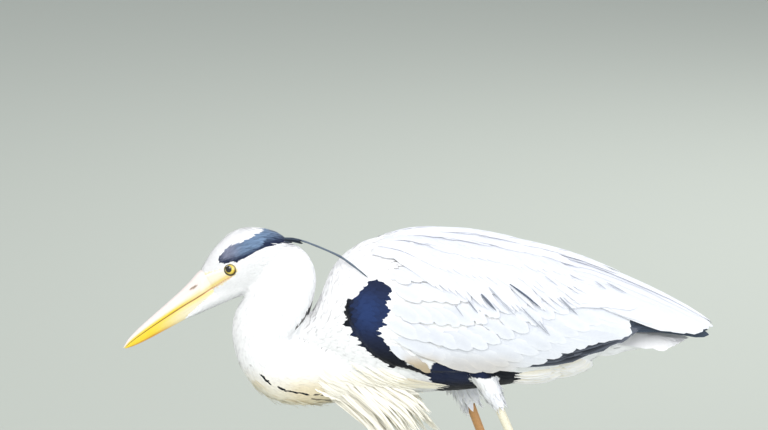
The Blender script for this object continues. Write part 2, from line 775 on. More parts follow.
def pair_sweep(name, stations, reach, backwards=False):
    rows, sides = SWEEP_RINGS[name]
    return sweep_of(pair_rings(stations, np.linspace(0, reach, rows), sides, 0), backwards)


def thigh_sweep(name):
    rows, sides = SWEEP_RINGS["thigh"]
    radii = thigh_radius(name, np.linspace(0, 1, rows))
    return sweep_of(tube_rings(thigh_line(name, rows), radii, sides))


SWEEPS = (
    ("head", pair_sweep("head", HEAD, 1, backwards=True)),
    ("neck", pair_sweep("neck", NECK, NECK_SWEPT)),
    ("trunk", trunk_sweep()),
    *(("thigh", thigh_sweep(name)) for name in SIDES),
)
skin_tree = BVHTree.FromObject(skin, bpy.context.evaluated_depsgraph_get())
corners = np.empty(3 * len(skin.data.polygons), np.int32)
skin.data.polygons.foreach_get("vertices", corners)
corners = corners.reshape(-1, 3)
vertex_normals = np.empty(3 * len(skin_points), np.float32)
skin.data.vertices.foreach_get("normal", vertex_normals)
face_normals = unit(vertex_normals.reshape(-1, 3)[corners].mean(1))
face_centres = skin_points[corners].mean(1)
edges = skin_points[corners[:, 1:]] - skin_points[corners[:, :1]]
face_areas = np.linalg.norm(np.cross(edges[:, 0], edges[:, 1]), axis=1) / 2
uv = np.empty(2 * len(skin.data.loops), np.float32)
skin.data.uv_layers["OFBake"].data.foreach_get("uv", uv)
face_uv = uv.reshape(-1, 3, 2).mean(1)

guide_points, guide_runs, guide_parts = [], [], []
for part, (points, runs) in SWEEPS:
    for point, run in zip(points, runs):
        if skin_tree.find_nearest(Vector(point * MM), NEAR_SKIN * MM)[0] is not None:
            guide_points.append(point)
            guide_runs.append(run)
            guide_parts.append(part)
guide_runs = np.array(guide_runs)
guide_tree = KDTree(len(guide_points))
for i, point in enumerate(guide_points):
    guide_tree.insert(Vector(point), i)
guide_tree.balance()


def lie_at(points, normals):
    """Direction of the coat at points of the skin, and the part of the body that gives it."""
    directions, parts = np.empty_like(points), []
    for k, point in enumerate(points.tolist()):
        near = guide_tree.find_n(point, GUIDES)
        weights = np.array([1 / (distance + GUIDE_BLUR) ** 2 for _, _, distance in near])
        directions[k] = weights @ guide_runs[[i for _, i, _ in near]]
        parts.append(guide_parts[near[0][1]])
    directions -= normals * (directions * normals).sum(1, keepdims=True)
    return unit(directions), np.array(parts)


face_lie, face_part = lie_at(face_centres, face_normals)

# ---------- Small feathers of head, neck, body and thighs ----------
# Each is a soft vane on a short quill, rooted in the skin and lying over the ones behind it. They are tiny
# on the face, narrow and silky on the neck and rounder on the body. One piece holds the feathers of a part.
FEATHER_ROWS = np.array((0, 0.34, 0.68, 0.9, 1))
# At those rows: height over the skin as a share of the lift, and width as a share of the half width
RISE = np.array((-0.5, 0.35, 0.8, 1.0, 0.9))
POINTED = np.array((0.55, 1, 0.82, 0.42, 0))
ROUNDED = np.array((0.5, 0.95, 0.9, 0.55, 0))
EDGE_SINK = 0.13  # share of the half width by which a vane's edges lie below its shaft
EDGE_LEAN = 0.14
TIP_LEAN = 0.12
TUFT_PATCH = 0.003
VARIETY = 0.16
YAW = 7  # degrees that a feather may turn from its row
STRAIGHT = 0.5  # least cosine between the root and the tip of a feather, so that none folds over in a crease
STRAIGHT_STEP = 0.72  # and between two rows of it
CANDIDATES = 4  # places tried for each root that finds room
# Upper edge of the chin's feathers, in the head's frame
FEATHER_EDGE = ((33, -10.5), (50, -14.5), (63, -17.5), (80, -20.5))
STRIPE_MARGIN = 0.02
# Short feathers lie near the streaks and along the foot of the shoulder patch, outlined in [x, z]
STREAK_REACH = 7
EDGE_ZONE = ((-30, 336), (-6, 338), (24, 324), (24, 304), (-18, 318))
# Under the folded wing: x where it starts, degrees by which it overlaps at its foot and its top, and
# [degrees above its foot, x] of the line behind which its vanes hide the skin
WING_START = -84
WING_OVERLAP = (1, 4)
HIDDEN_FROM = ((0, -4), (14, -22), (34, -34), (50, -26), (62, -18), (90, -14))
SCAPULAR_START = -2
TROUSER_LINE = 312
SHOULDER_END = -36
NAPE_WARD = (-45, 20)  # s from the nape to the face
NECK_DOWN = (290, 400)  # z from the breast to the nape
MANTLE_RISE = (-62, -26)


def scatter(chosen, spacing, seed):
    """Roots spread evenly over chosen faces, the given spacing apart."""
    draw = np.random.default_rng(seed)
    faces = np.flatnonzero(chosen)
    wanted = face_areas[faces] / spacing[faces] ** 2
    picks = draw.choice(faces, int(wanted.sum() * CANDIDATES), p=wanted / wanted.sum())
    u, v = draw.random((2, len(picks), 1))
    u, v = np.where(u + v > 1, 1 - u, u), np.where(u + v > 1, 1 - v, v)
    a, b, c = np.moveaxis(skin_points[corners[picks]], 1, 0)
    points = a + (b - a) * u + (c - a) * v
    cell = spacing[faces].max()
    cells, kept = {}, []
    steps = [(i, j, k) for i in (-1, 0, 1) for j in (-1, 0, 1) for k in (-1, 0, 1)]
    for n, ((x, y, z), apart) in enumerate(zip(points.tolist(), spacing[picks].tolist())):
        ci, cj, ck = int(x // cell), int(y // cell), int(z // cell)
        near = (other for i, j, k in steps for other in cells.get((ci + i, cj + j, ck + k), ()))
        if all((x - p) ** 2 + (y - q) ** 2 + (z - r) ** 2 > apart**2 for p, q, r in near):
            cells.setdefault((ci, cj, ck), []).append((x, y, z))
            kept.append(n)
    return points[kept], picks[kept]


def traced(roots, faces, lengths, yaws, rows):
    """Lines laid over the skin along the lie of the coat, with the skin's normal at each point."""
    lines, normals, runs = (np.empty((len(roots), len(rows), 3)) for _ in range(3))
    steps = np.diff(rows)
    turn_cos, turn_sin = np.cos(yaws), np.sin(yaws)
    for n, (root, face) in enumerate(zip(roots, faces)):
        at = root
        for k in range(len(rows)):
            normal, lie = face_normals[face], face_lie[face]
            run = lie * turn_cos[n] + np.cross(normal, lie) * turn_sin[n]
            lines[n, k], normals[n, k], runs[n, k] = at, normal, run
            if k < len(steps):
                ahead = at + run * (steps[k] * lengths[n])
                found, _, index, _ = skin_tree.find_nearest(ahead * MM)
                at, face = np.array(found) / MM, index
    return lines, normals, runs


def tuft_mesh(lines, normals, runs, halves, lifts, widths):
    """Closed three-edged vanes along lines: points, triangles, soft normals and barb places."""
    count, rows = lines.shape[:2]
    across = np.cross(normals, runs)
    rise = lifts[:, None, None] * RISE[None, :, None]
    middle = lines + normals * rise
    reach = across * (halves[:, None] * widths[None])[..., None]
    sink = normals * (halves[:, None, None] * EDGE_SINK)
    ring = np.stack([middle - reach - sink, middle, middle + reach - sink], axis=2)[:, :-1]
    points = np.concatenate([ring.reshape(count, -1, 3), middle[:, -1:]], axis=1)
    lean = across * EDGE_LEAN
    soft = np.stack([normals - lean, normals, normals + lean], axis=2)[:, :-1]
    soft = np.concatenate([soft.reshape(count, -1, 3), (normals + runs * TIP_LEAN)[:, -1:]], axis=1)
    faces = [(0, 1, 2)]
    for k in range(rows - 2):
        a, b, c = 3 * k, 3 * k + 1, 3 * k + 2
        faces += [(a, b + 3, b), (a, a + 3, b + 3), (b, c + 3, c), (b, b + 3, c + 3)]
        faces += [(a, c, c + 3), (a, c + 3, a + 3)]
    a, b, c, tip = range(3 * (rows - 2), 3 * (rows - 1) + 1)
    faces += [(a, tip, b), (b, tip, c), (a, c, tip)]
    starts = np.arange(count) * points.shape[1]
    triangles = (np.array(faces)[None] + starts[:, None, None]).reshape(-1, 3)
    return points, triangles, soft


def lay_out(made, places, triangles):
    """The map that its colours are kept by: each feather has a small patch where its root is on the skin."""
    layer = made.data.uv_layers.new(name="OFBake")
    layer.data.foreach_set("uv", places[triangles.ravel()].astype(np.float32).ravel())


def grow(name, chosen, sizes, widths, seed, spread=0.03):
    """One piece of small feathers over the chosen faces of the skin."""
    spacing, length, half, lift = sizes
    roots, faces = scatter(chosen, spacing, seed)
    draw = np.random.default_rng(seed + 1)
    vary = 1 + VARIETY * draw.uniform(-1, 1, (3, len(roots)))
    yaws = np.radians(YAW) * draw.uniform(-1, 1, len(roots))
    lines, normals, runs = traced(roots, faces, length[faces] * vary[0], yaws, FEATHER_ROWS)
    bends = [(ways[:, :-1] * ways[:, 1:]).sum(-1) for ways in (runs, normals)]
    straight = ((runs[:, 0] * runs[:, -1]).sum(-1) > STRAIGHT) & (np.minimum(*bends).min(1) > STRAIGHT_STEP)
    lines, normals, runs = (values[straight] for values in (lines, normals, runs))
    faces, vary = faces[straight], vary[:, straight]
    halves, lifts = half[faces] * vary[1], lift[faces] * vary[2]
    points, triangles, soft = tuft_mesh(lines, normals, runs, halves, lifts, widths)
    shade = 1 + spread * draw.uniform(-1, 1, (len(lines), 1, 1))
    along = np.concatenate([np.repeat(FEATHER_ROWS[:-1], 3), [1]])
    side = np.concatenate([np.tile((-1.0, 0.0, 1.0), len(FEATHER_ROWS) - 1), [0]])
    middle = lines[:, len(FEATHER_ROWS) // 2]
    tints = marking(middle)[:, None] * shade * (0.97 + 0.035 * along)[None, :, None]
    barb = along * length[faces][:, None] - np.abs(side) * half[faces][:, None]
    points, tints, soft = (values.reshape(-1, 3) for values in (points, tints, soft))
    feathers = piece(name, points, triangles, tints, soft, {"barb": barb.ravel()})
    spot = np.column_stack([side * 0.5, along - 0.5]) * TUFT_PATCH
    lay_out(feathers, (face_uv[faces][:, None] + spot[None]).reshape(-1, 2), triangles)
    return feathers


def bed_turn(points):
    """Turn of points above the side of the wings' bed, in degrees."""
    top, bottom, half = np.moveaxis(bed_form(points[:, 0]), -1, 0)
    rise = (top - bottom) / 2
    return np.degrees(np.arctan2((points[:, 2] - bottom - rise) / rise, np.abs(points[:, 1]) / half))


face_x, face_z = face_centres[:, 0], face_centres[:, 2]
face_s, face_t = head_frame(face_centres)
below_bill = (face_s > FEATHER_EDGE[0][0]) & (face_t > np.interp(face_s, *zip(*FEATHER_EDGE)))
bare = bare_face(face_centres) | below_bill
stripe_height = stripe_share(face_centres)
on_stripe = (stripe_height > -STRIPE_MARGIN) & (stripe_height < 1 + STRIPE_MARGIN)
on_head, on_neck, on_trunk = (face_part == part for part in ("head", "neck", "trunk"))

# the folded wing hides the skin under its vanes, and the scapulars hide part of the back
face_turn = bed_turn(face_centres)
wing_foot, wing_top = wing_region(face_x).T
above_foot = face_turn > wing_foot + WING_OVERLAP[0]
on_mantle = on_trunk & (face_turn > wing_top + WING_OVERLAP[1])
under_wing = on_trunk & (face_x > WING_START) & above_foot & (face_turn < wing_top + WING_OVERLAP[1])
under_vanes = under_wing & (face_x > np.interp(face_turn - wing_foot, *zip(*HIDDEN_FROM)))
under_scapulars = on_mantle & (face_x > SCAPULAR_START)
in_trousers = (face_part == "thigh") & (face_z < TROUSER_LINE)

# sizes over the whole skin, short at the bill and longest on the trunk: spacing, length, half width and lift
to_nape = fall(*NAPE_WARD, face_s)
down_neck = fall(*NECK_DOWN, face_z)
mantle_lift = 1.2 + 2.4 * on_mantle * step(*MANTLE_RISE, face_x)
PART_SIZES = {
    "head": (1.9 + 0.7 * to_nape, 4.2 + 6.5 * to_nape, 0.85 + 0.5 * to_nape, 0.8 + 0.5 * to_nape),
    "neck": (2.6 + 0.7 * down_neck, 13 + 5 * down_neck, 2.3, 0.8),
    "trunk": (3.9, 21, 3.6, mantle_lift),
    "thigh": (3.4, 15, 1.9, 1.8),
}
sizes = []
for by_part in zip(*PART_SIZES.values()):
    on_parts = [face_part == part for part in PART_SIZES]
    sizes.append(np.select(on_parts, [size + 0 * face_x for size in by_part]))
on_shoulder = on_trunk & (face_x < SHOULDER_END)
near_streaks = (streaks_at(face_centres, STREAK_REACH) > 0) | (on_trunk & inside(EDGE_ZONE, face_x, face_z))
for chosen, smaller in ((on_shoulder, (3.4, 16, 3.1)), (near_streaks, (1.9, 9.5, 1.35))):
    for k, value in enumerate(smaller):
        sizes[k] = np.where(chosen, value, sizes[k])

# name, where it grows, shape, seed, slot and the solids that it stands for
COATS = (
    ("head_feathers", on_head & ~bare & ~on_stripe, POINTED, 21, "white_feathers", ("head",)),
    ("neck_feathers", on_neck & ~on_stripe, POINTED, 22, "white_feathers", ("neck_upper", "neck_lower")),
    ("body_feathers", on_trunk & ~under_wing & ~under_scapulars, ROUNDED, 23, "white_feathers", ("torso",)),
    ("shoulder_coverts", under_wing & ~under_vanes, ROUNDED, 24, "grey_feathers", ()),
    ("thigh_feathers", in_trousers, POINTED, 25, "white_feathers", ("left_thigh", "right_thigh")),
)
plumage = feather_finish("plumage", 0.8, 0.9)
for name, chosen, widths, seed, slot, nodes in COATS:
    finished(grow(name, chosen, sizes, widths, seed), plumage, slot, *nodes)
crest_sizes = [size * factor for size, factor in zip(sizes, (0.85, 1.5, 1, 1.25))]
crest = grow("crest_feathers", on_stripe & ~bare, crest_sizes, POINTED, 26, 0.16)
finished(crest, plumage, "dark_feathers", "crest")

# ---------- Folded wings ----------
# Each wing is folded over the flank: dark flight feathers lowest, pale secondaries over them, then tiers of
# coverts that overlap like tiles, and the long inner feathers that close over the rump. Every vane is a
# shaft with two webs.
COLUMNS = np.array((-1, -0.62, -0.1, 0, 0.1, 0.62, 1))  # across a vane
VANE_ROWS = np.array((0, 0.12, 0.26, 0.4, 0.53, 0.65, 0.76, 0.85, 0.92, 0.97, 1))  # along it
# Outlines of vanes: [share of the length, share of the half width]
BLADE = ((0, 0.3), (0.15, 0.8), (0.4, 1), (0.76, 1), (0.92, 0.78), (0.97, 0.52), (1, 0.08))
COVERT = ((0, 0.4), (0.26, 0.9), (0.5, 1), (0.7, 0.92), (0.85, 0.7), (0.95, 0.38), (1, 0.05))
SCAPULAR = ((0, 0.75), (0.2, 1), (0.5, 1), (0.7, 0.84), (0.87, 0.48), (0.97, 0.16), (1, 0.03))
LANCE = ((0, 0.4), (0.2, 0.85), (0.45, 1), (0.65, 0.86), (0.85, 0.5), (0.97, 0.16), (1, 0.03))
THICK = 0.22
THICK_LOSS = 0.55  # share of it that is lost towards the edges
SHAFT = 0.22
CAMBER = 0.22
CAMBERED_HALF = 6  # half width from which a vane is fully cambered
STEP_UP = 0.28
STEEPEST = 0.14
TIP_SINK = 0.35
HALF_VARIETY = 0.06
LIFT_VARIETY = 0.12
SPLIT = 0.06  # share of the width by which the edges are ragged
NOTCH = 4  # how many times deeper a notch is
NOTCHES = 0.1  # share of the rows that have one
BARB_SLANT = 0.8
BIG_PATCH = 0.004
WING_WHITE = paint("#eaecf3")
WING_GREY = paint("#dfe2eb")
QUILL_DARK = paint("#20242e")
QUILL_SLATE = paint("#3f4a5a")
QUILL_GREY = paint("#666b78")
WARM_EDGE = paint("#cab183")
WING_TINTS = (WING_GREY, WING_WHITE)
# The beige stain along the front of the wing's foot, from each place to the next
STAIN_START = (-24, -10)
STAIN_PALER = (14, 30)
STAIN_END = (96, 136)
STAIN_TOP = (328, 352)
# Dark flight feathers: lowest and highest line of [x, turn above the side]
PRIMARIES = (
    ((176, -6), (222, -2), (262, 4), (304, 10), (350, 9)),
    ((176, 20), (208, 24), (240, 27), (270, 32), (302, 42)),
)
OUTER_FEATHERS = (
    ((104, -31), (152, -31), (206, -26.5), (254, -12)),
    ((120, -10), (170, -9), (215, -6), (268, 1)),
)
# Tips of the secondaries and of each tier of coverts: [x, turn above the side]
SECONDARY_TIPS = (
    (100, -35), (119, -33.5), (138, -31.5), (155, -29), (172, -25), (188, -20.5), (203, -17.5), (218, -14),
    (232, -12.5), (247, -11.5), (255, -7), (255, 2), (253, 10), (250, 18), (244, 26),
)
GREAT_TIPS = (
    (22, -20), (35, -24), (49, -28.5), (63, -32.5), (78, -35), (94, -33.5), (110, -30), (127, -26),
    (144, -21.5), (160, -17), (176, -12), (192, -6.5), (206, -1), (218, 5),
)
MIDDLE_TIPS = (
    (
        (2, -8), (18, -9), (34, -12), (50, -14.5), (66, -16), (83, -15), (99, -11.5), (115, -7), (132, -2),
        (148, 3.5), (164, 9), (180, 15), (194, 21),
    ),
    (
        (2, 3), (18, 3), (34, 2), (50, 1.5), (66, 2), (82, 4), (98, 8), (114, 12), (130, 17), (146, 22),
        (162, 27),
    ),
    ((4, 17), (19, 18), (34, 18), (49, 18), (64, 20), (80, 23), (96, 27), (112, 31)),
    ((-8, 30), (5, 32), (20, 32), (35, 32), (50, 33), (66, 35), (82, 38)),
    ((0, 44), (15, 45), (30, 45), (46, 46)),
)
FRONT_TIPS = ((-14, -25), (-4, -29), (6, -33), (15, -36))
# Long inner feathers: [x, turn] of root, middle and tip
TERTIALS = (
    ((152, 21), (190, 29), (240, 36)),
    ((152, 26), (198, 35), (262, 35)),
    ((151, 29), (200, 37), (289, 18)),
    ((149, 31), (200, 38), (310, 10.5)),
    ((148, 35), (200, 44), (327, 12)),
    ((146, 39), (200, 50), (340, 18)),
    ((144, 44), (200, 58), (347, 36)),
    ((143, 48), (200, 65), (352, 54)),
    ((141, 53), (200, 73), (349, 68)),
    ((140, 58), (200, 80), (343, 80)),
    ((136, 66), (190, 86), (314, 88)),
    ((134, 72), (195, 90), (349, 90)),
)
# Tiers from the lowest up: tips, length, droop in degrees, half width, lifts of root, middle and tip,
# outline, tints of shaft and rim, and how much each vane stands over its neighbour
WING_TIERS = (
    (SECONDARY_TIPS, 112, 13, 9, (0.4, 1.7, 2), BLADE, WING_TINTS, 0.25),
    (GREAT_TIPS, 52, 23, 9.5, (0.5, 2.3, 2.6), COVERT, WING_TINTS, STEP_UP),
    (FRONT_TIPS, 27, 44, 5.6, (0.4, 2.4, 2.4), COVERT, (WING_WHITE, WING_WHITE), STEP_UP),
    *(
        (tips, 42 - 3 * k, 26, 9.2 - 0.5 * k, (0.6 + 0.1 * k, 2.7 + 0.35 * k, 3 + 0.35 * k), COVERT)
        + (WING_TINTS, STEP_UP)
        for k, tips in enumerate(MIDDLE_TIPS)
    ),
)


def many_tubes(rings):
    """Triangles of many closed tubes at once, from rings by tube, row and place round."""
    count, rows, sides = rings.shape[:3]
    fan = np.arange(1, sides - 1)
    end = (rows - 1) * sides
    one = np.vstack([
        tube_walls(rows, sides),
        np.column_stack([np.zeros_like(fan), fan + 1, fan]),
        np.column_stack([np.full_like(fan, end), end + fan, end + fan + 1]),
    ])
    return (one[None] + (np.arange(count) * rows * sides)[:, None, None]).reshape(-1, 3)


def vanes(place, lengths, halves, lifts, outline, slopes, draw, split):
    """Thin closed vanes. place gives points and normals for a reach across a line and a height above it."""
    count, rows = len(halves), len(VANE_ROWS)
    widths = np.interp(VANE_ROWS, *zip(*outline))
    ragged = 1 - split * draw.random((2, count, rows)) ** 2
    ragged -= NOTCH * split * (draw.random((2, count, rows)) < NOTCHES)
    web = np.where(COLUMNS[None, None] < 0, ragged[0][..., None], ragged[1][..., None])
    reach = COLUMNS * halves[:, None, None] * widths[None, :, None] * web
    edge = np.abs(COLUMNS)
    camber = CAMBER * edge**2 * np.minimum(1, halves / CAMBERED_HALF)[:, None, None]
    crown = SHAFT * np.maximum(0, 1 - edge * 10) - camber
    height = lifts[..., None] - slopes[:, None, None] * reach + crown
    thin = THICK * (1 - THICK_LOSS * edge) * np.minimum(1, 0.25 + widths)[:, None]
    top, normals = place(reach, height)
    under, _ = place(reach, height - thin)
    rings = np.concatenate([top, under[:, :, ::-1]], axis=2)
    lean = np.concatenate([normals, -normals[:, :, ::-1]], axis=2)
    across = np.broadcast_to(np.concatenate([COLUMNS, COLUMNS[::-1]]), rings.shape[:3])
    along = np.broadcast_to(VANE_ROWS[None, :, None], rings.shape[:3])
    slant = BARB_SLANT * np.abs(np.concatenate([reach, reach[:, :, ::-1]], axis=2))
    return rings, lean, along, across, along * lengths[:, None, None] - slant


def pad_height(x, turn):
    """How far the skin of the arm and the mantle stands above the wings' bed."""
    heights = []
    for (low, high, lift), (front, rear) in ((arm_band(x), ARM_ENDS), (mantle_band(x), MANTLE_ENDS)):
        share = np.clip((turn - low) / (high - low), 0, 1)
        heights.append(np.where((x > front) & (x < rear), lift * crowned(share), 0))
    return np.maximum(np.maximum(*heights), 0)


def on_bed(side, lines):
    """Places vanes on the wings' bed along lines of [x, turn]; also gives each line's length."""
    path = np.stack([curve(line, VANE_ROWS) for line in lines])
    x, turn = path[..., 0], path[..., 1]
    point, along, around, normal = oval_steps(bed_form, side, x, turn)
    run = unit(np.gradient(point, axis=1))
    across = unit(np.cross(normal, run))
    across *= np.sign((across * around).sum(-1, keepdims=True))
    aa, bb, ab = (along * along).sum(-1), (around * around).sum(-1), (along * around).sum(-1)
    av, bv = (along * across).sum(-1), (around * across).sum(-1)
    spread = aa * bb - ab * ab
    step_x, step_turn = (bb * av - ab * bv) / spread, (aa * bv - ab * av) / spread
    lengths = np.linalg.norm(np.diff(point, axis=1), axis=2).sum(1)
    pad = pad_height(x, turn)

    def place(reach, height):
        height = height + pad[..., None]
        px = x[..., None] + step_x[..., None] * reach
        pturn = turn[..., None] + step_turn[..., None] * reach
        foot, _, _, out = oval_steps(bed_form, side, px, pturn)
        return foot + out * height[..., None], out

    return place, lengths


def spacing_of(side, lines):
    """Distance between neighbouring lines of a tier, measured across them at their middle."""
    middle = np.stack([curve(line, (0.45, 0.5, 0.55)) for line in lines])
    point, _, _, normal = oval_steps(bed_form, side, middle[..., 0], middle[..., 1])
    across = unit(np.cross(normal[:, 1], point[:, 2] - point[:, 0]))
    gaps = np.abs(((point[1:, 1] - point[:-1, 1]) * across[:-1]).sum(-1))
    return np.append(gaps, gaps[-1:])


def drooping(tips, length, droop, draw):
    """Lines that run back and down to their tips."""
    lines = []
    for x, turn in tips:
        x, turn = x + draw.uniform(-1, 1), turn + 0.6 * draw.uniform(-1, 1)
        reach = length * (1 + HALF_VARIETY * draw.uniform(-1, 1))
        angle = math.radians(droop + 2 * draw.uniform(-1, 1))
        top, bottom, _ = bed_form(x - reach / 2)
        degree = math.radians((top - bottom) / 2) * 0.93
        back, up = reach * math.cos(angle), reach * math.sin(angle) / degree
        lines.append(((x - back, turn + up), (x - back * 0.48, turn + up * 0.56), (x, turn)))
    return lines


def blended(first, last, count):
    """Lines from the first to the last one."""
    share = np.linspace(0, 1, count)[:, None, None]
    return np.array(first) * (1 - share) + np.array(last) * share


def web_tint(tints, along, across, draw, spread=0.03):
    """Colours of vanes: the first tint along the shaft, the second at the edges and the tip."""
    rim = np.clip(np.maximum(np.abs(across) ** 2, step(0.75, 1, along)), 0, 1)
    shade = 1 + spread * draw.uniform(-1, 1, (len(along), 1, 1, 1))
    return mixed(*tints, rim) * shade


def warmed(tints, points):
    """Tints with the beige that stains the front lower edge of the wing."""
    x, z = points[..., 0], points[..., 2]
    low = fall(*STAIN_TOP, z) * step(*STAIN_START, x)
    share = low * (0.85 - 0.5 * step(*STAIN_PALER, x)) * (1 - step(*STAIN_END, x))
    return mixed(tints, WARM_EDGE * tints, share)


def tier(side, lines, half, lifts, outline, tints, draw, step_up=STEP_UP, split=SPLIT):
    """One tier of vanes on the wings' bed, each over its neighbour below."""
    place, lengths = on_bed(side, lines)
    count = len(lines)
    halves = half * (1 + HALF_VARIETY * draw.uniform(-1, 1, count))
    rise = np.interp(VANE_ROWS, (0, 0.5, 0.9, 1), (*lifts, lifts[2] - TIP_SINK))
    heights = rise[None] + LIFT_VARIETY * draw.uniform(-1, 1, (count, 1))
    slopes = np.zeros(1)
    if count > 1:
        slopes = np.clip(step_up / np.maximum(spacing_of(side, lines), 1), 0, STEEPEST)
    made = vanes(place, lengths, halves, heights, outline, slopes, draw, split)
    rings, _, along, across, _ = made
    return (*made, warmed(web_tint(tints, along, across, draw), rings))


def assembled(name, tiers):
    """One piece from tiers of vanes, laid out by the place of each root on the skin."""
    points, triangles, normals, tints, barbs, places, start = [], [], [], [], [], [], 0
    for rings, lean, along, across, barb, tint in tiers:
        faces = [skin_tree.find_nearest(Vector(p * MM))[2] for p in rings[:, 1].mean(axis=1)]
        spot = np.stack([across * 0.5, along - 0.5], -1) * BIG_PATCH
        places.append((face_uv[faces][:, None, None] + spot).reshape(-1, 2))
        points.append(rings.reshape(-1, 3))
        triangles.append(many_tubes(rings) + start)
        normals.append(lean.reshape(-1, 3))
        tints.append(tint.reshape(-1, 3))
        barbs.append(barb.ravel())
        start += rings[..., 0].size
    faces = np.vstack(triangles)
    points, tints, normals = (np.vstack(values) for values in (points, tints, normals))
    made = piece(name, points, faces, tints, normals, {"barb": np.concatenate(barbs)})
    lay_out(made, np.vstack(places), faces)
    return made


vane_finish = feather_finish("vanes", 0.6, 1.1)
for name, side in SIDES.items():
    draw = np.random.default_rng(40 + side)
    inner, outer = (QUILL_DARK, QUILL_SLATE), (QUILL_DARK, QUILL_GREY)
    dark = [
        tier(side, blended(*PRIMARIES, 9), 8, (0, 0.5, 0.7), BLADE, inner, draw, 0.2),
        tier(side, blended(*OUTER_FEATHERS, 7), 7, (0, 0.8, 1), BLADE, outer, draw, 0.3, 0.14),
    ]
    finished(assembled(f"{name}_flight_feathers", dark), vane_finish, "dark_feathers", f"{name}_wing")
    pale = []
    for tips, length, droop, half, lifts, outline, tints, step_up in WING_TIERS:
        lines = drooping(tips, length, droop, draw)
        pale.append(tier(side, lines, half, lifts, outline, tints, draw, step_up))
    pale.append(tier(side, TERTIALS, 11.2, (1, 3.7, 5.8), BLADE, WING_TINTS, draw, 0.4))
    finished(assembled(f"{name}_wing_feathers", pale), vane_finish, "grey_feathers", f"{name}_wing")

# ---------- Scapulars and mantle ----------
# Long lance-shaped plumes grow from the shoulders and the back and hang loosely over the folded wings.
# Between them the dark bases of the feathers below show as thin slanting streaks.
SCAPULAR_ROWS = (
    # count, root and tip of the first line and of the last, extra turn of the tips in the middle of the row,
    # half width, lifts of root, middle and tip, and how much each plume stands over its neighbour
    (22, ((-54, 62), (14, 30)), ((90, 80), (200, 22)), -13, 6.6, (1, 4.6, 5.3), 0.2),
    (18, ((-48, 72), (26, 42)), ((88, 83), (200, 34)), -8, 6.8, (1.3, 5, 5.8), 0.18),
    (16, ((-40, 79), (40, 55)), ((92, 85), (196, 48)), -3, 7.4, (1.6, 5.3, 6.2), 0.1),
    (15, ((-32, 83), (48, 71)), ((90, 87), (190, 64)), 0, 8, (1.9, 5.4, 6.6), 0.02),
    (15, ((-20, 87), (66, 83)), ((136, 88), (240, 79)), 0, 8.4, (1.8, 5.5, 6.7), 0.01),
)
TIP_WANDER = (3, 1.2)  # in x and in turn
PLUME_ARCH = (0, 3)
PLUME_SPLIT = 0.08
# Streaks: [x, turn] of the upper and the lower end, half width, share of the dark tint
WING_STREAKS = (
    ((59, 19), (71, 11), 0.9, 0.7),
    ((75, 24), (93, 13), 1.5, 0.9),
    ((109, 34), (146, 17), 1.2, 1),
    ((43, 16), (54, 8), 0.7, 0.4),
    ((84, 30), (100, 20), 0.7, 0.3),
    ((98, 20), (116, 10), 0.9, 0.35),
    ((119, 19), (157, -5), 0.8, 0.5),
    ((168, 27), (190, 13), 1.1, 0.6),
    ((144, 7), (156, -4), 0.8, 0.4),
    ((223, 52), (247, 46), 0.8, 0.5),
    ((210, 50), (223, 43), 0.8, 0.4),
    ((150, 44), (166, 37), 0.7, 0.3),
)
# Height of the plumes' backs over the bed: [turn, height]
PLUME_BACKS = ((-5, 5), (12, 6.3), (30, 7.2), (46, 8.2))
STREAK_LIFT = 0.5
STREAK_TINT = paint("#565f70")


def lance_lines(count, first, last, dip, draw):
    """Lines of a row of plumes, from the first to the last one."""
    lines = []
    for u, (root, tip) in zip(np.linspace(0, 1, count), blended(first, last, count)):
        tip = tip + (0, dip * math.sin(math.pi * u)) + draw.uniform(-1, 1, 2) * TIP_WANDER
        lines.append((root, root * 0.5 + tip * 0.5 + PLUME_ARCH, tip))
    return lines


for name, side in SIDES.items():
    draw = np.random.default_rng(60 + side)
    plumes = []
    for count, first, last, dip, half, lifts, step_up in SCAPULAR_ROWS:
        lines = lance_lines(count, first, last, dip, draw)
        plumes.append(tier(side, lines, half, lifts, SCAPULAR, WING_TINTS, draw, step_up, PLUME_SPLIT))
    for start, end, half, share in WING_STREAKS:
        upper, lower = np.array(start, float), np.array(end, float)
        line = (upper + draw.uniform(-0.5, 0.5, 2), (upper + lower) / 2, lower)
        height = np.interp(end[1], *zip(*PLUME_BACKS)) + STREAK_LIFT
        dark = mixed(WING_GREY, STREAK_TINT, share)
        lifts = (height - 0.6, height, height - 0.3)
        plumes.append(tier(side, [line], half, lifts, LANCE, (dark, dark), draw))
    finished(assembled(f"{name}_scapular_plumes", plumes), vane_finish, "grey_feathers", f"{name}_scapulars")

# ---------- Tail ----------
# Twelve pale feathers folded into a short stack behind the rump, the middle pair on top, with softer ones
# round their roots and loose tufts that hang from the belly towards the vent.
TAIL_TOP = np.array((226, 0, 363.5))
TAIL_FEATHERS = 12
TAIL_LENGTH = 103
TAIL_TAPER = 4.6  # how much shorter each pair is than the one above
TAIL_HALF = 9.5
TAIL_FAN = 1.5
TAIL_APART = 2
TAIL_STACK = 0.9
TAIL_RISE = -6.5
TAIL_ARCH = 2.5
TAIL_ROOF = 0.22
UNDERTAIL = ((341, 80, 9), (338, 66, 9), (335, 52, 9))  # height of the roots, length and number
UNDERTAIL_ROOT = 208
UNDERTAIL_HALF = 6
# root x, tip x, lowest and highest tip, and how far out the highest one is
VENT_TUFTS = (
    (120, 172, 304, 320, 24), (132, 180, 308, 322, 22), (160, 203, 314, 330, 20), (172, 210, 318, 332, 18),
)
TUFT_FEATHERS = 9
TUFT_HALF = 6.4


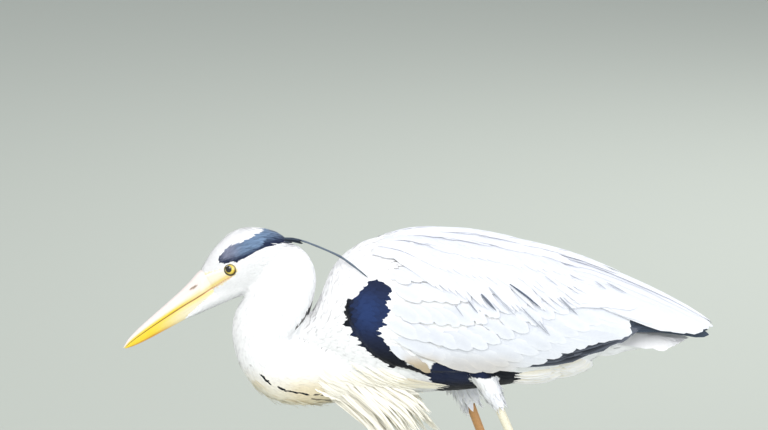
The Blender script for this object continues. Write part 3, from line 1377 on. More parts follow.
def in_air(lines, ups):
    """Places vanes along free lines of points, with their upper faces turned up the given ways."""
    point = np.stack([curve(line, VANE_ROWS) for line in lines])
    run = unit(np.gradient(point, axis=1))
    ups = np.asarray(ups, float)[:, None]
    normal = unit(ups - run * (ups * run).sum(-1, keepdims=True))
    across = np.cross(normal, run)
    lengths = np.linalg.norm(np.diff(point, axis=1), axis=2).sum(1)

    def place(reach, height):
        out = np.broadcast_to(normal[:, :, None], (*reach.shape, 3))
        return point[:, :, None] + across[:, :, None] * reach[..., None] + out * height[..., None], out

    return place, lengths


def free_tier(vanes_wanted, outline, tints, draw, split=SPLIT, spread=0.03):
    """One tier of free vanes, from the line, the upward way and the half width of each."""
    lines, ups, halves = zip(*vanes_wanted)
    place, lengths = in_air(lines, ups)
    count = len(lines)
    flat = np.zeros((count, len(VANE_ROWS)))
    made = vanes(place, lengths, np.asarray(halves, float), flat, outline, np.zeros(count), draw, split)
    _, _, along, across, _ = made
    return (*made, web_tint(tints, along, across, draw, spread))


def tail_stack():
    """Line, upward way and half width of each tail feather."""
    rise = math.sin(math.radians(TAIL_RISE))
    for rank in range(TAIL_FEATHERS):
        step_out = (rank // 2 + 0.5) * (1 if rank % 2 else -1)
        fan = math.radians(TAIL_FAN * step_out)
        heading = unit(np.array((math.cos(fan), math.sin(fan), rise)))
        start = TAIL_TOP + (0, TAIL_APART * step_out, -TAIL_STACK * rank)
        reach = TAIL_LENGTH - TAIL_TAPER * abs(step_out)
        arch = ((0, 0), (0.5, TAIL_ARCH), (1, 0))
        line = [start + heading * reach * u + (0, 0, height) for u, height in arch]
        yield line, (0, TAIL_ROOF * step_out, 1), TAIL_HALF


def undertail_row(height, reach, count, draw):
    """The same for a row of the soft feathers under the tail."""
    for share in np.linspace(-1, 1, count):
        root = np.array((UNDERTAIL_ROOT + 6 * draw.uniform(-1, 1), 17 * share, height + 6 * share**2))
        tip = root + (reach * (1 - 0.12 * abs(share)), -6 * share, 5.5 - 2 * share**2)
        yield (root, (root + tip) / 2 + (0, 1.5 * share, -3.5), tip), (0, 1.3 * share, -0.3), UNDERTAIL_HALF


def vent_tuft(root_x, tip_x, low, high, widest, draw):
    """The same for a pair of tufts at the vent."""
    for side, share in itertools.product(SIDES.values(), np.linspace(0, 1, TUFT_FEATHERS)):
        jitter = draw.uniform(-1, 1, 3)
        out, height = widest * share, low + (high - low) * share
        tip = np.array((tip_x - 7 * share**2 + 2 * jitter[0], side * (1.5 + out), height))
        root = np.array((root_x + 7 * jitter[1], side * (2 + out), height - 3 + 4 * share))
        root = np.array(skin_tree.find_nearest(Vector(root * MM))[0]) / MM
        middle = (root + tip) / 2 + (0, 2.2 * side, -1.5 * (1 - share))
        yield (root, middle, tip), (0.1, side, -0.55 + 0.6 * share), TUFT_HALF


draw = np.random.default_rng(70)
tail = [free_tier(tail_stack(), BLADE, (WHITE, WHITE), draw)]
tail += [free_tier(undertail_row(*row, draw), COVERT, (WHITE, WHITE), draw, 0.1) for row in UNDERTAIL]
tail += [free_tier(vent_tuft(*tuft, draw), COVERT, (CREAM, WHITE), draw, 0.12) for tuft in VENT_TUFTS]
finished(assembled("tail_feathers", tail), vane_finish, "grey_feathers", "tail")

# ---------- Breast plumes ----------
# Long silky plumes hang from the base of the neck in pointed locks, the front ones steepest and the upper
# side ones lying back along the belly. Each keeps close to the breast at first and then hangs free.
PLUME_LOCKS = (
    # root x, y and z, drop in degrees, length
    (-93, 4, 276, 48, 96),
    (-91, -9, 277, 47.5, 86),
    (-89, 12, 276, 47, 98),
    (-85, -3, 277, 45.5, 97),
    (-82, -19, 281, 44, 84),
    (-78, 12, 278, 43, 97),
    (-72, -6, 278, 40.5, 96),
    (-68, -18, 282, 38, 78),
    (-62, 14, 278, 37, 92),
    (-57, 3, 279, 34.5, 90),
    (-54, -14, 282, 31, 72),
    (-48, -20, 285, 27, 60),
    (-101, -20, 286, 47.5, 86),
    (-96, -27, 294, 47, 90),
    (-90, -34, 302, 46, 92),
    (-80, -35, 300, 43, 88),
    (-70, -36, 298, 40, 86),
    (-62, -37, 296, 36, 78),
    (-54, -37, 296, 31, 66),
    (-99, 20, 287, 47.5, 88),
    (-90, 29, 298, 46, 90),
    (-82, 22, 288, 43.5, 84),
    (-74, 35, 298, 41, 84),
    (-60, 36, 296, 35, 72),
)
LOCK_PLUMES = 14
LOCK_SPREAD = (9, 6, 11)  # how far its plumes' roots stray in x, y and z
LOCK_RISE = 4
LOCK_NARROWING = 0.82
LOCK_CLING = 0.24  # share of the way to the tip at which a plume leaves the breast
# Two tiers on each side: ranges of x and z of the roots, number, range of length, drop from front to back,
# and how closely the tips hold to the breast
APRON = (
    ((-126, -38), (286, 332), 90, (30, 46), (34, 27), 0.65),
    ((-94, -46), (278, 300), 84, (46, 64), (46, 29), 0.1),
)
APRON_OUT = 40
THROAT_FRINGE = ((-196, 305), (-180, 294), (-166, 287), (-152, 283), (-138, 280), (-124, 278))
FRINGE_PLUMES = 12
FRINGE_FALL = -0.35
FRINGE_LENGTH = 20
FRINGE_HALF = 1.5
# Roots of the plumes along each side: [x, z, drop in degrees]
SIDE_PLUMES = (
    (-60, 311, 24), (-52, 305, 22), (-46, 314, 20), (-40, 301, 19), (-34, 308, 19), (-28, 300, 17),
    (-22, 305, 17),
)
SIDE_STRANDS = 10
SIDE_PLUME_LENGTH = 50
SIDE_OUT = 46
PLUME_WHITE = paint("#fcf8ec")
PLUME_CREAM = paint("#faf1da")


def skin_place(point, out=0.0):
    """The skin nearest to a point, or a point that far above it."""
    found, normal, _, _ = skin_tree.find_nearest(Vector(point) * MM)
    return np.array(found) / MM + np.array(normal) * out


def falling(drop, aside=0.0):
    """Direction to the rear and down by a drop in degrees."""
    angle = math.radians(drop)
    return np.array((math.cos(angle), aside, -math.sin(angle)))


def breast_lines(draw):
    """Line, upward way and half width of each plume of the locks."""
    for x, y, z, drop, length in PLUME_LOCKS:
        heading = falling(drop, 0.002 * y)
        end = skin_place((x, y, z)) * (1, LOCK_NARROWING, 1) + length * heading
        for _ in range(LOCK_PLUMES):
            jitter = draw.uniform(-1, 1, 6)
            root = skin_place(np.array((x, y, z + LOCK_RISE)) + LOCK_SPREAD * jitter[:3])
            tip = end + heading * 12 * jitter[3] + (2 * jitter[4], 2.6 * jitter[5], 1.6 * jitter[4])
            leaving = root * (1 - LOCK_CLING) + tip * LOCK_CLING
            near = skin_place(leaving, 2.6 + 0.8 * jitter[3]) * 0.6 + leaving * 0.4
            far = near * 0.42 + tip * 0.58 + (2, 0.1 * y + 2.4 * jitter[1], 5 + 1.5 * jitter[5])
            up = (0.25, 1.1 * np.sign(y) + 0.4 * jitter[1], 0.5)
            yield (root, near, far, tip), up, 1.6 + 0.5 * jitter[3]


def apron_lines(draw):
    """The same for the short plumes that cover the roots of the locks."""
    for (front, back), (low, high), count, (shortest, longest), drops, hold in APRON:
        for side in np.repeat(list(SIDES.values()), count):
            x, z = draw.uniform(front, back), draw.uniform(low, high)
            root = skin_place((x, side * APRON_OUT, z))
            drop = np.interp(x, (front, back), drops) + draw.uniform(-3, 3)
            tip = root + draw.uniform(shortest, longest) * falling(drop, -0.1 * side)
            tip = tip * (1 - hold) + skin_place(tip, 3.5) * hold
            middle = (root + tip) / 2
            middle = middle * 0.4 + skin_place(middle, 3.2) * 0.6
            yield (root, middle, tip), (0.2, side, 0.35), draw.uniform(2.6, 3.6)


def fringe_lines(draw):
    """The same for the fringe under the throat."""
    for x, z in THROAT_FRINGE:
        for _ in range(FRINGE_PLUMES):
            jitter = draw.uniform(-1, 1, 4)
            root = skin_place((x + 7 * jitter[0], 16 * jitter[1], z + 3 * jitter[0]))
            out = skin_place(root, 1) - root
            run = unit(np.array((1, 0, FRINGE_FALL)) - out * (out[0] + FRINGE_FALL * out[2]))
            tip = skin_place(root + run * (FRINGE_LENGTH + 6 * jitter[2])) + out * (3.4 + 2.6 * jitter[3])
            yield (root, skin_place((root + tip) / 2, 2), tip), out, FRINGE_HALF


def side_lines(draw):
    """The same for the plumes along the sides, which follow the skin."""
    for side, (x, z, drop) in itertools.product(SIDES.values(), SIDE_PLUMES):
        for _ in range(SIDE_STRANDS):
            jitter = draw.uniform(-1, 1, 4)
            root = skin_place((x + 6 * jitter[0], side * SIDE_OUT, z + 4 * jitter[1]))
            reach = SIDE_PLUME_LENGTH * (1 + 0.14 * jitter[2])
            tip = root + reach * falling(drop)
            laid = [skin_place(root + (tip - root) * u, 2.6 + 1.2 * u + 0.8 * jitter[3]) for u in (0.5, 1)]
            yield (root, *laid), skin_place(root, 1) - root, 1.8 + 0.4 * jitter[3]


draw = np.random.default_rng(80)
white, cream = (PLUME_WHITE, PLUME_WHITE), (PLUME_CREAM, PLUME_CREAM)
locks = free_tier(breast_lines(draw), LANCE, white, draw, 0.14)
finished(assembled("breast_plumes_loose", [locks]), vane_finish, "cream_feathers", "breast_plumes")
tiers = [
    free_tier(apron_lines(draw), LANCE, white, draw, 0.1, 0.05),
    free_tier(fringe_lines(draw), LANCE, cream, draw, 0.14),
    free_tier(side_lines(draw), LANCE, (PLUME_CREAM, PLUME_WHITE), draw, 0.14, 0.09),
]
finished(assembled("breast_plumes_short", tiers), vane_finish, "cream_feathers", "breast_plumes")

# ---------- Trousers ----------
# Loose soft feathers hang round the foot of each thigh and end in ragged points over the bare shank. They
# are rooted in the skin of the thigh and point down it.

# Number, length, half width, flare, and the share of the thigh above the first root
TROUSERS = {"left": (120, 25, 2.6, 0.3, 0.5), "right": (120, 30, 3.6, 4, 0.3)}
LAST_ROOT = 0.93
TROUSER_TOP = 314

for name, side in SIDES.items():
    draw = np.random.default_rng(85 + side)
    axis = thigh_line(name, 2)
    down = unit(axis[1] - axis[0])
    count, length, half, flare, first = TROUSERS[name]
    lines, ups = [], []
    for _ in range(count):
        turn, share = draw.uniform(0, 2 * math.pi), draw.uniform(first, LAST_ROOT)
        away = unit(np.cross(down, (math.sin(turn), math.cos(turn), 0.2 * math.sin(turn))))
        root = axis[0] + (axis[1] - axis[0]) * share + away * thigh_radius(name, share)
        root = skin_place(root, -0.4)
        if root[2] > TROUSER_TOP:
            continue
        reach = length * (1.1 - 0.5 * share) * (1 + 0.2 * draw.uniform(-1, 1))
        tip = root + down * reach + away * flare * draw.uniform(-0.6, 1)
        lines.append((root, skin_place((root + tip) / 2, 1.5), tip))
        ups.append(away)
    halves = half * (1 + 0.2 * draw.uniform(-1, 1, len(lines)))
    tufts = free_tier(zip(lines, ups, halves), LANCE, (WING_WHITE, WHITE), draw, 0.1)
    finished(assembled(f"{name}_trousers", [tufts]), vane_finish, "white_feathers", f"{name}_thigh")

# ---------- Nape plumes ----------
# Long dark ribbons grow from the end of the crest and lie over the shoulder, with shorter and darker ones
# that hug the neck at their root.
NAPE_LINE = (
    (-166, -3, 474.5), (-150, -6, 475.5), (-130, -11, 471), (-110, -18, 464), (-92, -28, 458),
    (-73, -40, 446), (-60, -49, 437),
)
NAPE_ROWS = 7
# share of the line's length, half width, shift
LONG_RIBBONS = ((1, 1.3, (0, 0, 0)), (0.84, 1.2, (-2, 4.5, -0.6)), (0.4, 1.5, (-1, 2, -0.4)))
SHORT_RIBBONS = (
    (0.26, 1.8, (0, -1, -0.6)), (0.3, 1.9, (-4, 1, -2.4)), (0.22, 2.2, (-7, -1, -3.6)),
    (0.2, 2.2, (-7, 4, -3.6)),
)
RIBBON_UP = (0.1, -0.75, 1)
RIBBON_GREY = paint("#6f7d8c")

draw = np.random.default_rng(90)
ribbons = []
for rows, tints in ((LONG_RIBBONS, (RIBBON_GREY, QUILL_SLATE)), (SHORT_RIBBONS, (QUILL_SLATE, INK))):
    laid = [
        (curve(NAPE_LINE, np.linspace(0, share, NAPE_ROWS)) + shift, RIBBON_UP, half)
        for share, half, shift in rows
    ]
    ribbons.append(free_tier(laid, BLADE, tints, draw))
finished(assembled("nape_ribbons", ribbons), vane_finish, "dark_feathers", "nape_plumes")

# ---------- Bill ----------
# Two horny sheaths, long and dagger-shaped, which meet along a straight cutting edge. A groove runs forward
# from each slit of a nostril. Pale along the ridge and yellow to orange along the edge and below.
UPPER_BILL = [
    # s, ridge, mouth, half width
    (14, 12, -7, 9.5),
    (34, 16.6, -7.8, 10.5),
    (55, 11.6, -8, 9.2),
    (75, 7.7, -7.6, 7.7),
    (114, 1.9, -8.2, 5.4),
    (140, -2.4, -9.4, 3.4),
    (154, -6, -10.6, 2.1),
    (165, -11.4, -12.4, 0.6),
]
# The same for the lower half, with its keel for a ridge
LOWER_BILL = [
    (14, -22, -7, 9.2),
    (34, -24.5, -7.8, 10),
    (55, -25, -8, 8.8),
    (75, -24, -7.6, 7.4),
    (114, -21, -8.2, 5.2),
    (140, -18.6, -9.4, 3.4),
    (154, -16.4, -10.6, 2.1),
    (163.5, -13.8, -12.6, 0.6),
]
BILL_SECTION = ((0.9, 0), (1, 0.2), (0.84, 0.6), (0.44, 0.92), (0, 1))  # [share of width, share of height]
BILL_GAP = 0.15
BILL_RINGS = 190
BILL_SIDES = 30
TIPWARD = 1.15  # more than 1 sets the rings closer towards the tip
NOSTRIL = (52, 4.6)
NOSTRIL_SIZE = (5.5, 1.1, 1.7)  # half length, half height and depth
NASAL_GROOVE = ((40, 6.4), (52, 4.6), (75, 2.2), (120, -2.6))
KEEL_GROOVE = 0.52  # share of the lower half's height
# Depth and half width of each groove, and where it begins and ends
NASAL_CUT = (0.75, 1.1, (38, 50), (92, 118))
KEEL_CUT = (0.4, 1.4, (16, 40), (80, 112))
GROOVE_EDGE = 0.3  # share of the width below which the ridge starts, where nothing is cut
NO_SLIT = 9.0
BILL_PALE = paint("#f5e8e4")
BILL_CREAM = paint("#f7edcf")
BILL_YELLOW = paint("#f7d93a")
BILL_ORANGE = paint("#e9982c")
BILL_EDGE = paint("#a8642c")
NOSTRIL_DARK = paint("#a8937f")


def horn_finish(name, roughness, coat, streak=(9, 220)):
    """Smooth horn: its own tint with fine streaks along the growth, and a soft polish."""
    made = new_finish(name, {"Roughness": roughness, "Coat Weight": coat, "Coat Roughness": 0.2})
    scaled = {}
    for axis, key, scale in zip("XY", ("grain_along", "grain_across"), streak):
        read = wired(made, "ShaderNodeAttribute", {}, attribute_name=key).outputs["Fac"]
        times = wired(made, "ShaderNodeMath", {0: read, 1: scale * MM}, operation="MULTIPLY")
        scaled[axis] = times.outputs["Value"]
    place = wired(made, "ShaderNodeCombineXYZ", scaled).outputs["Vector"]
    grain = wired(made, "ShaderNodeTexNoise", {"Vector": place, "Scale": 5, "Detail": 4}).outputs["Fac"]
    tint_by(made, shades(made, grain, 0.86, 1.1))
    raise_by(made, grain, 0.2, 0.2)
    return made


def furrow(s, t, middle, cut):
    """Depth of a groove at places on the side of the bill."""
    depth, half, begins, ends = cut
    window = (step(*begins, s) * fall(*ends, s))[:, None]
    return depth * window * np.exp(-(((t - middle) / half) ** 2))


def sheath(stations, up):
    """Rings of one half of the bill: s, y, t, the share of its height and the nearness of the nostril."""
    reach = stations[-1][0] - stations[0][0]
    s = stations[0][0] + reach * (1 - (1 - np.linspace(0, 1, BILL_RINGS)) ** TIPWARD)
    ridge, mouth, half = np.moveaxis(through(stations)(s), -1, 0)[..., None]
    mouth = mouth + up * BILL_GAP
    side, height = curve(BILL_SECTION, np.linspace(0, 1, BILL_SIDES)).T
    side, height = np.clip(side, 0, None), np.clip(height, 0, 1)
    t = mouth + (ridge - mouth) * height
    y = half * side
    cuttable = side > GROOVE_EDGE
    if up > 0:
        y = y - furrow(s, t, np.interp(s, *zip(*NASAL_GROOVE))[:, None], NASAL_CUT) * cuttable
        slit = ((s[:, None] - NOSTRIL[0]) / NOSTRIL_SIZE[0]) ** 2 + ((t - NOSTRIL[1]) / NOSTRIL_SIZE[1]) ** 2
        y = y - NOSTRIL_SIZE[2] * np.clip(1.25 - slit, 0, 1) * cuttable
    else:
        y = y - furrow(s, t, mouth + (ridge - mouth) * KEEL_GROOVE, KEEL_CUT)
        slit = np.full_like(t, NO_SLIT)
    palate = y[:, :1] * np.array((-0.6, 0, 0.6))
    ring_y = np.concatenate([y, -y[:, -2::-1], palate], axis=1)
    ring_t = np.concatenate([t, t[:, -2::-1], mouth + 0.4 * up + 0 * palate], axis=1)
    share = np.concatenate([height, height[-2::-1], np.zeros(3)])[None] + 0 * ring_y
    slit = np.concatenate([slit, slit[:, -2::-1], np.full((len(s), 3), NO_SLIT)], axis=1)
    return s[:, None] + 0 * ring_y, ring_y, ring_t, share, slit


def edge_tint(s):
    """The upper half along its cutting edge: cream at the base and yellow further out."""
    return mixed(BILL_CREAM, BILL_YELLOW, 0.22 + 0.78 * step(30, 95, s))


bill_finish = horn_finish("bill_horn", 0.38, 0.25)
for name, stations, up in (("upper", UPPER_BILL, 1), ("lower", LOWER_BILL, -1)):
    s, y, t, share, slit = sheath(stations, up)
    points, triangles = closed_tube(head_point(s, y, t))
    if up > 0:
        to_tip = step(70, 150, s)
        pale = step(0.1 + 0.06 * to_tip, 0.44 + 0.14 * to_tip, share)
        tints = mixed(edge_tint(s), BILL_PALE, pale)
    else:
        base = fall(66, 128, s)
        tints = mixed(BILL_YELLOW, BILL_ORANGE, step(0.62, 0.98, share) * (1 - base))
        tints = mixed(tints, BILL_CREAM, base * (0.45 + 0.55 * step(0.08, 0.4, share)))
    tints = mixed(tints, BILL_EDGE, 0.8 * fall(0.01, 0.07, share) * fall(150, 164, s))
    tints = mixed(tints, NOSTRIL_DARK, np.clip(1.6 - slit, 0, 1))
    tints = np.vstack([tints.reshape(-1, 3), tints[0, 0], tints[-1, 0]])
    grain = {
        "grain_along": np.append(s.ravel(), (s[0, 0], s[-1, 0])),
        "grain_across": np.append((t + 0.3 * y).ravel(), (0, 0)),
    }
    horn = piece(f"{name}_bill_horn", points, triangles, tints, None, grain)
    finished(horn, bill_finish, "bill_horn", f"{name}_bill")

# ---------- Lores ----------
# Bare, faintly wrinkled skin between the eye and the bill, pale yellow, with the line of the gape along its
# foot. Each is a thin sheet laid over the skin and the root of the bill.

# Lower and upper edge of the sheet and the line of the gape, in the head's frame
LORE_LOWER = ((1, -8.6), (8, -9.2), (22, -9.8), (34, -10.4), (40, -9.6), (52, -8.6))
LORE_UPPER = ((1, 4), (6, 5.4), (14, 7.4), (24, 9.6), (33, 10.4), (40, 6), (52, -6.8))
GAPE = ((2, -7), (16, -7), (34, -7.8), (55, -8))
LORE_ENDS = (1, 52)
LORE_ROWS = 64
LORE_COLUMNS = 30
LORE_THICK = 1.2
LORE_RISE = 0.45
LORE_BEVEL = 1.5
GAPE_DEPTH = 0.55
WRINKLE = 0.12
LORE_PALE = paint("#f6efdc")
LORE_YELLOW = paint("#eed888")
GAPE_ORANGE = paint("#cf7f34")


def bill_half_at(s, t):
    """Half width of the bill at a place of its side."""
    stations = UPPER_BILL if t > GAPE[-1][1] + 0.2 else LOWER_BILL
    ridge, mouth, half = through(stations)(s)
    side, height = curve(BILL_SECTION, np.linspace(0, 1, BILL_SIDES)).T
    return half * np.interp((t - mouth) / (ridge - mouth), height, side) if s > stations[0][0] else 0


def lore_patch(side):
    """Points of the sheet's outer face, with s, t, the share of its height and the gape's t at each."""
    points, places = [], []
    for s in np.linspace(*LORE_ENDS, LORE_ROWS):
        low, high = np.interp(s, *zip(*LORE_LOWER)), np.interp(s, *zip(*LORE_UPPER))
        gape = np.interp(s, *zip(*GAPE))
        for v in np.linspace(0, 1, LORE_COLUMNS):
            t = low + (high - low) * v
            at = head_point(s, 0.0, t)
            found = skin_tree.ray_cast(Vector((at[0], side * 60, at[2])) * MM, Vector((0, -side, 0)))[0]
            skin_y = abs(found.y) / MM if found is not None and side * found.y > 0 else 0
            edge = min(s - LORE_ENDS[0], LORE_ENDS[1] - s, (high - low) * v, (high - low) * (1 - v))
            rise = LORE_RISE * min(1, edge / LORE_BEVEL) - 0.5 * max(0, 1 - edge / 0.8)
            rise -= GAPE_DEPTH * math.exp(-(((t - gape) / 0.55) ** 2)) * min(1, max(0, s - 2) / 3)
            rise += WRINKLE * math.sin(1.9 * s + 0.5 * t) * min(1, edge / 3) * (1 - v * 0.5)
            points.append(head_point(s, side * (max(skin_y, bill_half_at(s, t)) + rise), t))
            places.append((s, t, v, gape))
    return np.array(points), np.array(places)


def sheet_faces():
    """Triangles of a closed sheet: its outer face, its back and the wall round its rim."""
    count = LORE_ROWS * LORE_COLUMNS
    grid = np.arange(count).reshape(LORE_ROWS, LORE_COLUMNS)
    a, b, c, d = (corner.ravel() for corner in (grid[:-1, :-1], grid[:-1, 1:], grid[1:, 1:], grid[1:, :-1]))
    faces = np.vstack([np.column_stack([a, b, c]), np.column_stack([a, c, d])])
    rim = np.concatenate([grid[0], grid[1:, -1], grid[-1, -2::-1], grid[-2:0:-1, 0]])
    after = np.roll(rim, -1)
    wall = [np.column_stack([rim, rim + count, after]), np.column_stack([after, rim + count, after + count])]
    return np.vstack([faces, faces[:, ::-1] + count, *wall])


lore_finish = horn_finish("bare_face_skin", 0.5, 0.1, streak=(160, 160))
for name, side in SIDES.items():
    points, places = lore_patch(side)
    s, t, v, gape = places.T
    back = points - (0, side * LORE_THICK, 0)
    near_gape = np.exp(-(((t - gape - 2.4) / 3) ** 2))
    tints = mixed(LORE_PALE, LORE_YELLOW, near_gape * step(0, 8, s))
    tints = mixed(tints, WHITE, step(0.72, 1, v))
    tints = np.where((t < gape)[:, None], BILL_CREAM, tints)
    bill_tint = mixed(edge_tint(s), BILL_PALE, step(-6.1, -0.3, t))
    tints = np.where((t > gape)[:, None], mixed(tints, bill_tint, step(28, 46, s)), tints)
    tints = mixed(tints, GAPE_ORANGE, np.exp(-(((t - gape) / 0.7) ** 2)) * step(1.5, 5, s))
    grain = {"grain_along": np.tile(s, 2), "grain_across": np.tile(t, 2)}
    both = np.vstack([points, back])
    lore = piece(f"{name}_lore", both, sheet_faces(), np.vstack([tints, tints]), None, grain)
    finished(lore, lore_finish, "bill_horn", "head")

# ---------- Eyes ----------
# Glass eyes, pale yellow with a round black pupil, set in their sockets. A narrow dark lid of dried skin
# lies round each, closed onto the glass.
EYE_DEPTH = 14.2
EYE_RADIUS = 8.4
EYE_SIDES = 96
CORNEA = 0.35  # how far the clear front bulges
PUPIL = 4.0
IRIS = 7.1
LOOK = (-0.4, 0.9, 0.15)
LID_FACING = (-0.2, 0.98, 0.05)
# Lid from its edge on the eye to the skin: [distance from the opening's middle, height over the centre]
LID = (
    (5.75, 5.6), (5.8, 6.2), (6.05, 6.75), (6.5, 6.8), (7, 6.35), (7.5, 5.7), (8.2, 5), (9, 3), (8.4, 1.5),
    (5.5, 4),
)
LID_ROWS = 44
LID_STRETCH = 1.08
LID_WRINKLE = 0.06
LID_WRINKLES = 23
IRIS_YELLOW = paint("#ecd257")
IRIS_RIM = paint("#c29a30")
PUPIL_BLACK = paint("#060606")
LID_DARK = paint("#2c2a28")
LID_SKIN = paint("#dccb94")


def facing(direction, side):
    """Three directions: out of the eye, forward across it and up across it."""
    out = unit(np.array((direction[0], side * direction[1], direction[2])))
    ahead = unit(np.array((-1, 0, 0)) + out * out[0])
    return out, ahead, unit(np.cross(out, ahead)) * (1 if np.cross(out, ahead)[2] > 0 else -1)


glass = new_finish("glass_eye", {"Roughness": 0.08, "Coat Weight": 1, "Coat Roughness": 0.02})
fleck = wired(glass, "ShaderNodeTexNoise", {"Scale": 1500}).outputs["Fac"]
tint_by(glass, shades(glass, fleck, 0.88, 1.1))
lid_finish = horn_finish("lid_skin", 0.5, 0.15, streak=(150, 150))

for name, side in SIDES.items():
    draw = np.random.default_rng(100)
    centre = EYE + (0, side * EYE_DEPTH, 0)
    turn = ring_angles(EYE_SIDES)
    # the ball, with finer rings over its front
    out, ahead, up = facing(LOOK, side)
    polar = np.radians(np.concatenate([np.linspace(1, 62, 70), np.linspace(66, 179, 22)]))[:, None]
    swell = EYE_RADIUS + CORNEA * np.exp(-((polar / 0.62) ** 4))
    spoke = np.cos(turn)[:, None] * ahead + np.sin(turn)[:, None] * up
    ring = np.cos(polar)[..., None] * out + np.sin(polar)[..., None] * spoke
    points, triangles = closed_tube(centre + ring * swell[..., None])
    reach = EYE_RADIUS * np.sin(polar) + 0 * turn
    streaks = 1 + 0.1 * draw.uniform(-1, 1, EYE_SIDES) * step(PUPIL, PUPIL + 1.2, reach)
    tints = mixed(IRIS_YELLOW, IRIS_RIM, step(IRIS - 1.4, IRIS, reach)) * streaks[..., None]
    tints = mixed(tints, PUPIL_BLACK, 1 - step(PUPIL - 0.1, PUPIL + 0.15, reach))
    behind = np.maximum(step(IRIS - 0.1, IRIS + 0.25, reach), polar > math.radians(64))
    tints = mixed(tints, PUPIL_BLACK, behind)
    tints = np.vstack([tints.reshape(-1, 3), PUPIL_BLACK, PUPIL_BLACK])
    finished(piece(f"{name}_glass_eye", points, triangles, tints), glass, "eye", f"{name}_eye")

    # the lid, a ring with its own closed section
    out, ahead, up = facing(LID_FACING, side)
    profile = curve(LID, np.linspace(0, 1, LID_ROWS))
    wrinkle = LID_WRINKLE * np.sin(LID_WRINKLES * turn)[:, None] * step(6.2, 7.4, profile[:, 0])[None]
    around = np.cos(turn)[:, None, None] * ahead * LID_STRETCH + np.sin(turn)[:, None, None] * up
    rings = centre + around * profile[None, :, :1] + out * (profile[None, :, 1] + wrinkle)[..., None]
    grid = np.arange(EYE_SIDES * LID_ROWS).reshape(EYE_SIDES, LID_ROWS)
    a, b = grid, np.roll(grid, -1, axis=0)
    c, d = np.roll(b, -1, axis=1), np.roll(a, -1, axis=1)
    triangles = np.vstack([np.stack([a, b, c], -1).reshape(-1, 3), np.stack([a, c, d], -1).reshape(-1, 3)])
    droop = 0.9 * np.clip(-np.sin(turn), 0, 1)[:, None]
    tints = mixed(LID_DARK, LID_SKIN, step(0, 0.9, profile[None, :, 0] - 6.3 - droop))
    grain = {"grain_along": rings[..., 0].ravel(), "grain_across": rings[..., 2].ravel()}
    lid = piece(f"{name}_lid", rings.reshape(-1, 3), triangles, tints.reshape(-1, 3), None, grain)
    finished(lid, lid_finish, "bill_horn", "head")

# ---------- Legs and feet ----------
# Long bare shanks and tarsi joined at a knobbly ankle, with plates down the front and small scales round the
# rest. Three long toes point forward and one back, each with a swelling at every joint and a flat sole.
LEG_SUNK = 26
TIBIA_RADII = (5.6, 5.4, 5.2, 5.6)
TARSUS_RADII = (5.8, 4.7, 4.5, 4.8, 6)
LEG_SIDES = 36
TOE_SIDES = 28
ANKLE_RADII = (7.4, 5.9, 7.4)
PAD_RADII = (8, 7, 5.6)
BALL_RINGS = 20
FOOT_HEIGHT = 7
# name, heading in degrees out from straight ahead, length, joints
TOES = (("middle", 3, 82, 3), ("inner", -24, 64, 2), ("outer", 28, 70, 4), ("hind", 172, 46, 1))
TOE_RADII = (4.4, 2.7)
TOE_RINGS = 40
KNUCKLE = 0.13
TOE_BED = 0.8  # height of a toe's middle as a share of its radius
SOLE = 0.15
PLATE = 5.2
PLATE_DEPTH = 0.34
TOE_PLATE_DEPTH = 0.3
PEBBLE = 0.12
RING_STEP = 0.85
LEG_VOXEL = 0.8
LEG_ROUNDS = 2
JOINT_REACH = 9
LEG_TINTS = {"left": (paint("#f9f2da"), paint("#e9d9b2")), "right": (paint("#c8955f"), paint("#a06e43"))}
CLAW_LENGTH = 13
CLAW_SUNK = 2
CLAW_RADIUS = 2.1
CLAW_RINGS = 26
CLAW_SIDES = 20
CLAW_TAPER = ((0, 0.85), (0.1, 1), (0.4, 0.8), (0.75, 0.45), (1, 0.06))
CLAW_DARK = paint("#3b352e")
CLAW_TIP = paint("#6a5c4a")


def plated(line, radii, sides, front_way, deep=PLATE_DEPTH):
    """Rings of a scaled leg: overlapping plates on the side that faces the given way, and pads behind."""
    line = np.array(line, float)
    reach = np.append(0, np.linalg.norm(np.diff(line, axis=0), axis=1).cumsum())
    steps = np.linspace(0, reach[-1], max(8, int(reach[-1] / RING_STEP)))
    path = np.column_stack([np.interp(steps, reach, line[:, k]) for k in range(3)])
    radius = np.interp(steps / reach[-1], np.linspace(0, 1, len(radii)), radii)
    rings = tube_rings(path, radius, sides)
    spoke = unit(rings - path[:, None])
    front = np.clip((spoke * unit(np.array(front_way, float))).sum(-1), 0, 1)
    saw = (steps % PLATE) / PLATE
    plate = (saw**1.6 - 0.5)[:, None] * deep * front**0.5
    pebble = PEBBLE * np.sin(steps[:, None] * 2.3) * np.sin(ring_angles(sides)[None] * 8) * (1 - front)
    return rings + spoke * (plate + pebble)[..., None]


def toe_way(heading, side):
    """Direction of a toe along the floor."""
    turn = math.radians(heading)
    return np.array((-math.cos(turn), side * math.sin(turn), 0))


